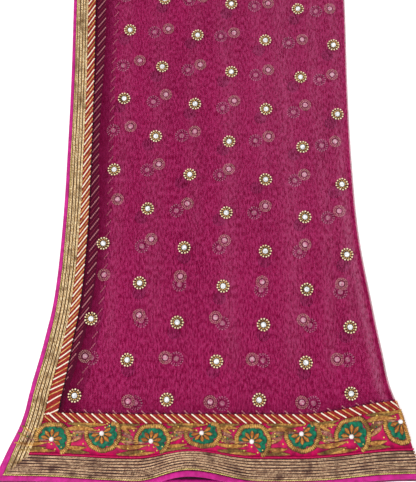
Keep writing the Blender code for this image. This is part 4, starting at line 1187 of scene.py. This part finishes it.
def from_pearl(spot, dx, dy, height):
    """Points over the band from a flower's pearl, with dy towards the way that it opens."""
    x, middle, facing = spot
    return on_band(x + dx, middle + facing * dy, height)


def flower_fans():
    """Emerald satin-stitched fans, scalloped at their rim."""
    points = []
    faces = []
    for spot in flower_spots():
        steps = FAN_LOBES * 6
        share = np.linspace(0.0, 1.0, steps + 1)
        angle = fan_angle(share)
        bulge = np.abs(np.sin(math.pi * FAN_LOBES * share)) ** 0.7
        width = steps + 1
        start = len(points)
        for ring, part in enumerate((0.18, 0.42, 0.65, 0.86, 1.0)):
            reach = fan_reach(angle, spot, FAN_REACH * (part if ring < 3 else part * (0.9 + 0.12 * bulge)))
            reach = np.minimum(reach, fan_reach(angle, spot, 40.0) - 2.2 * part)
            height = 1.5 + 0.9 * bulge * part if ring < 4 else 1.1
            place, _ = from_pearl(spot, reach * np.cos(angle), reach * np.sin(angle), height)
            points.extend(place.tolist())
        for ring in range(4):
            for step in range(steps):
                low = start + ring * width + step
                corners = (low, low + 1, low + width + 1, low + width)
                faces.append(corners if spot[2] < 0 else corners[::-1])
    mesh = bpy.data.meshes.new("emerald_fans")
    mesh.from_pydata(points, [], faces)
    mesh.shade_smooth()
    return keep("emerald_fans", mesh, EMERALD)


def arc(spot, reach, height, scallop=0.0, first=0.0, last=1.0, keep_in=0.0):
    """Line round a flower's fan, scalloped with its lobes."""
    share = np.linspace(first, last, 90)
    angle = fan_angle(share)
    bulge = np.abs(np.sin(math.pi * FAN_LOBES * share))
    radius = np.minimum(fan_reach(angle, spot, reach) + scallop * bulge,
                        fan_reach(angle, spot, 40.0) - keep_in)
    return from_pearl(spot, radius * np.cos(angle), radius * np.sin(angle), height)


def flower_lines():
    """Metal coils of the flowers, as lines: outlines, stitched rims and petals."""
    outline = []
    rim = []
    petal = []
    edge = []
    for spot in flower_spots():
        outline.append(arc(spot, FAN_REACH + 0.3, 1.5, 0.3, keep_in=2.0))
        outline.append(arc(spot, RIM_REACH + 0.8, 1.4, 0.9, keep_in=0.2))
        rim.append(arc(spot, RIM_REACH - 1.7, 1.9, 0.7, keep_in=1.9))
        for number in range(FAN_LOBES):
            centre = fan_angle((number + 0.5) / FAN_LOBES)
            t = np.linspace(0.0, 1.0, 10)
            reach = 3.4 + 8.0 * t
            for side in (-1.0, -0.5, 0.0, 0.5, 1.0):
                half = 1.9 * side * np.sin(math.pi * t ** 1.5) ** 0.8
                across = (reach * np.cos(centre) - half * np.sin(centre), reach * np.sin(centre)
                          + half * np.cos(centre))
                line = from_pearl(spot, across[0], across[1], 2.9 - 0.3 * abs(side))
                (edge if abs(side) > 0.9 else petal).append(line)
    return outline, rim, petal, edge


def leaf(spot, shape):
    """Strands that fill one curved leaf beside a flower, and its two outlines."""
    x, middle, facing = spot
    room = middle - HEM_EMBROIDERY.start - 1.0 if facing > 0 else HEM_EMBROIDERY.end - 0.8 - middle
    t = np.linspace(0.0, 1.0, 24)
    dx = shape.start + (shape.end - shape.start) * t
    level = -room * (shape.near + (shape.far - shape.near) * t) - shape.bend * np.sin(math.pi * t)
    strands = []
    for number in range(shape.strands):
        side = 2.0 * (number + 0.5) / shape.strands - 1.0
        width = shape.half * side * np.sin(math.pi * np.clip(t * 1.04, 0.0, 1.0)) ** 0.8
        strands.append(from_pearl(spot, dx + width * 0.35, level + width, 1.35 + 0.25 * (1.0 - abs(side))))
    outlines = []
    for side in (-1.15, 1.15):
        width = shape.half * side * np.sin(math.pi * t) ** 0.8
        outlines.append(from_pearl(spot, dx + width * 0.35, level + width, 1.2))
    return strands, outlines


def scroll_lines():
    """Leaves and curls between the flowers, as lines by finish."""
    lines = {"gilt": [], "rose": [], "olive": [], "outline": []}
    for spot in flower_spots():
        for shape in LEAVES:
            strands, outlines = leaf(spot, shape)
            lines[shape.kind].extend(strands)
            lines["outline"].extend(outlines)
        t = np.linspace(0.0, 1.0, 60)
        for turns, radius, growth in ((2.1, 2.3, 2.6), (1.0, 5.6, 0.4)):
            angle = 2 * math.pi * turns * t + 0.6
            reach = radius + growth * t
            curl = (CURL_X + reach * np.cos(angle), CURL_Y + reach * np.sin(angle))
            lines["rose"].append(from_pearl(spot, curl[0], curl[1], 1.3))
    return lines


def bead_spots():
    """Small beads scattered over the band, uneven from flower to flower."""
    chance = random.Random(21)
    spots = []
    for x, middle, facing in flower_spots():
        for dx, dy in BEADS:
            place = (x + dx + chance.uniform(-2.5, 2.5), middle + facing * dy + chance.uniform(-1.2, 1.2))
            if place[0] < float(panel_right(place[1])) - 1.0 and place[0] > -205.0:
                spots.append(place)
    return np.array(spots)


def embroidery():
    """Silk ground with flowers, leaves, curls, beads and pearls."""
    made = [hem_strip("embroidery_ground", HEM_EMBROIDERY, np.full(5, 0.95), SIDE_RIBBON.start, GROUND_SILK)]
    made.append(flower_fans())
    outline, rim, petal, edge = flower_lines()
    scrolls = scroll_lines()
    for name, lines, finish, form in (
            ("flower_rims", rim, BRONZE, Laid(2.0, 3.1, 0.8, 0.9, 1.45, 5, 0.1, 6, 4)),
            ("flower_rim_grounds", rim, OLIVE, Laid(2.4, 1.9, 3.3, 0.6, 0.0, 5, 0.05)),
            ("flower_petals", petal, AMBER, Laid(1.1, 0.9, 0.55, 0.6, 0.3, 6)),
            ("petal_edges", edge, RUST, Laid(1.1, 0.9, 0.5, 0.7, 0.1, 10)),
            ("embroidery_outlines", outline + scrolls["outline"], EDGE_BROWN,
             Laid(1.5, 1.0, 0.42, 0.5, 0.1, 10)),
            ("gilt_leaves", scrolls["gilt"], BRONZE, Laid(1.5, 1.15, 0.55, 0.5, 0.7, 8, 0.25)),
            ("olive_leaves", scrolls["olive"], OLIVE, Laid(1.5, 1.15, 0.55, 0.5, -0.7, 9, 0.25)),
            ("rose_scrolls", scrolls["rose"], ROSE_GILT, Laid(1.4, 1.0, 0.5, 0.5, 0.5, 12))):
        made.append(laid(name, lines, finish, form))
    spots = flower_spots()
    curls = np.array([(x + CURL_X, middle + facing * CURL_Y) for x, middle, facing in spots])
    place, out = on_band(curls[:, 0], curls[:, 1], 1.1)
    made.append(dome_mesh("curl_dots", place, out, 1.5, 1.0, 8, 3, EMERALD))
    pearls = np.array([spot[:2] for spot in spots])
    place, out = on_band(pearls[:, 0], pearls[:, 1], 1.6)
    made.append(dome_mesh("flower_pearls", place, out, 2.9, 3.0, 14, 5, PEARL))
    made[-1].data.shade_smooth()
    beads = bead_spots()
    place, out = on_band(beads[:, 0], beads[:, 1], 1.3)
    made.append(dome_mesh("scattered_beads", place, out, 1.05, 1.3, 7, 3, BEAD_YELLOW))
    return made


def hidden_borders():
    """Borders of the hidden layers: lining, and the backs of their slanted ribbon cords."""
    made = []
    for name, layer, lining in (("second", SECOND, LINING), ("third", THIRD, LINING_LOW),
                                ("fourth", FOURTH, LINING_LOW)):
        rows = np.linspace(layer.hem + 5.0, FAR_START, 220)[:, None]
        across = np.linspace(0.0, 34.0, 6)[None, :]
        points, _ = under_point(layer, layer_left(layer, rows) + across * border_scale(rows), rows, 0.25)
        made.append(keep("side_border_" + name, grid_mesh("side_border_" + name, points), lining))
        rows = np.linspace(layer.hem + 5.0, 81.0, 12)[:, None]
        left = layer_left(layer, rows)
        x = left + (panel_right(rows) - layer.fold - left) * np.linspace(0.0, 1.0, 150)[None, :]
        points, _ = under_point(layer, x, rows, 0.3)
        made.append(keep("end_border_" + name, grid_mesh("end_border_" + name, points), LINING))
    lines = {"pale": [], "deep": []}
    share = np.linspace(0.0, 1.0, 6)
    for layer in (SECOND, THIRD):
        for number, start in enumerate(np.arange(86.0, FAR_START - 20.0, HIDDEN_CORD_PITCH / 2)):
            across = 24.5 + 9.0 * share if layer is SECOND else 29.0 + 4.6 * share
            x = layer_left(layer, start) + across * border_scale(start)
            line = under_point(layer, x, start + 1.4 * (across - 22.6), 0.7)
            lines["pale" if number % 2 == 0 else "deep"].append(line)
    for number, x in enumerate(np.arange(-168.0, 208.0, END_CORD_PITCH / 2)):
        line = under_point(SECOND, x - 8.0 * share, 75.0 + 7.5 * share, 0.7)
        lines["pale" if number % 2 == 0 else "deep"].append(line)
    for kind, finish, width in (("pale", BACK_PALE, 0.9), ("deep", BACK_DEEP, 0.7)):
        made.append(laid("hidden_cords_" + kind, lines[kind], finish, Laid(2.2, 1.7, width, 0.4, 0.2, 9)))
    return made


def floor():
    """Plain pale floor."""
    places = np.array((-FLOOR_REACH, FLOOR_REACH))
    points = np.stack(np.meshgrid(places, places) + [np.zeros((2, 2))], axis=-1)
    keep("floor", grid_mesh("floor", points), FLOOR)


def lights():
    """Soft, even studio light from above and the left."""
    world = bpy.data.worlds.new("studio")
    bpy.context.scene.world = world
    world.use_nodes = True
    sky = world.node_tree.nodes["Background"].inputs
    sky["Color"].default_value = (1.0, 1.0, 1.0, 1.0)
    sky["Strength"].default_value = SKY_STRENGTH
    for name, place, size, energy in LAMPS:
        lamp = bpy.data.lights.new(name, "AREA")
        lamp.size = size
        lamp.energy = energy
        holder = bpy.data.objects.new(name, lamp)
        holder.location = place
        aim = Vector(LAMP_TARGET) - Vector(place)
        holder.rotation_euler = aim.to_track_quat("-Z", "Y").to_euler()
        bpy.context.collection.objects.link(holder)


def camera():
    """Camera at the photograph's steep angle over the hem."""
    eye = bpy.data.cameras.new("camera")
    eye.lens = 50.0
    eye.sensor_width = 36.0
    eye.clip_start = 0.01
    holder = bpy.data.objects.new("camera", eye)
    away = Vector((0.0, -math.cos(CAMERA_STEEPNESS), math.sin(CAMERA_STEEPNESS)))
    holder.location = Vector(CAMERA_TARGET) + away * CAMERA_DISTANCE
    holder.rotation_euler = (-away).to_track_quat("-Z", "Y").to_euler()
    bpy.context.collection.objects.link(holder)
    bpy.context.scene.camera = holder


def main():
    """Make every piece, attach each to the root body, and hide the imported solids that the main ones stand
    for.
    """
    camera()
    lights()
    floor()
    bpy.context.scene.view_settings.view_transform = "Standard"
    first = veil_top()
    second = veil_under("net_second_layer", SECOND, NET_SECOND)
    third = veil_under("net_third_layer", THIRD, NET_LOW)
    fourth = veil_under("net_fourth_layer", FOURTH, NET_LOW)
    edge = piping()
    edges = [under_piping("piping_second_layer", SECOND, PIPING_SILK),
             under_piping("piping_third_layer", THIRD, PIPING_SHADED),
             under_piping("piping_fourth_layer", FOURTH, PIPING_SHADED)]
    side_zari, end_zari, threads = zari_bands()
    cord = hem_strip("pink_cord", HEM_CORD, (0.7, 1.7, 2.1, 1.7, 0.7), SIDE_ZARI.end, CORD_PINK)
    side_ribbon, end_ribbon, cords = ribbons()
    work = embroidery()
    motifs = top_motifs()
    ghosts = hidden_motifs() + hidden_borders()
    slots = (("net", [first] + motifs), ("net_layers", [second, third, fourth] + ghosts),
             ("silk_piping", [edge] + edges), ("gold_zari", [side_zari, threads[0], threads[2]]),
             ("antique_zari", [end_zari, threads[1]]), ("pink_cord", [cord]), ("embroidery", work),
             ("striped_ribbon", [side_ribbon, end_ribbon] + cords))
    for slot, pieces in slots:
        for piece in pieces:
            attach(piece, "root")
    stands_for = ((first, "net_top"), (second, "net_under"), (edge, "piping"), (edges[0], "under_piping"),
                  (side_zari, "side_zari"), (end_zari, "end_zari"), (cord, "end_cord"),
                  (work[0], "end_embroidery"), (side_ribbon, "side_ribbon"), (end_ribbon, "end_ribbon"))
    for piece, node in stands_for:
        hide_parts(node)


main()
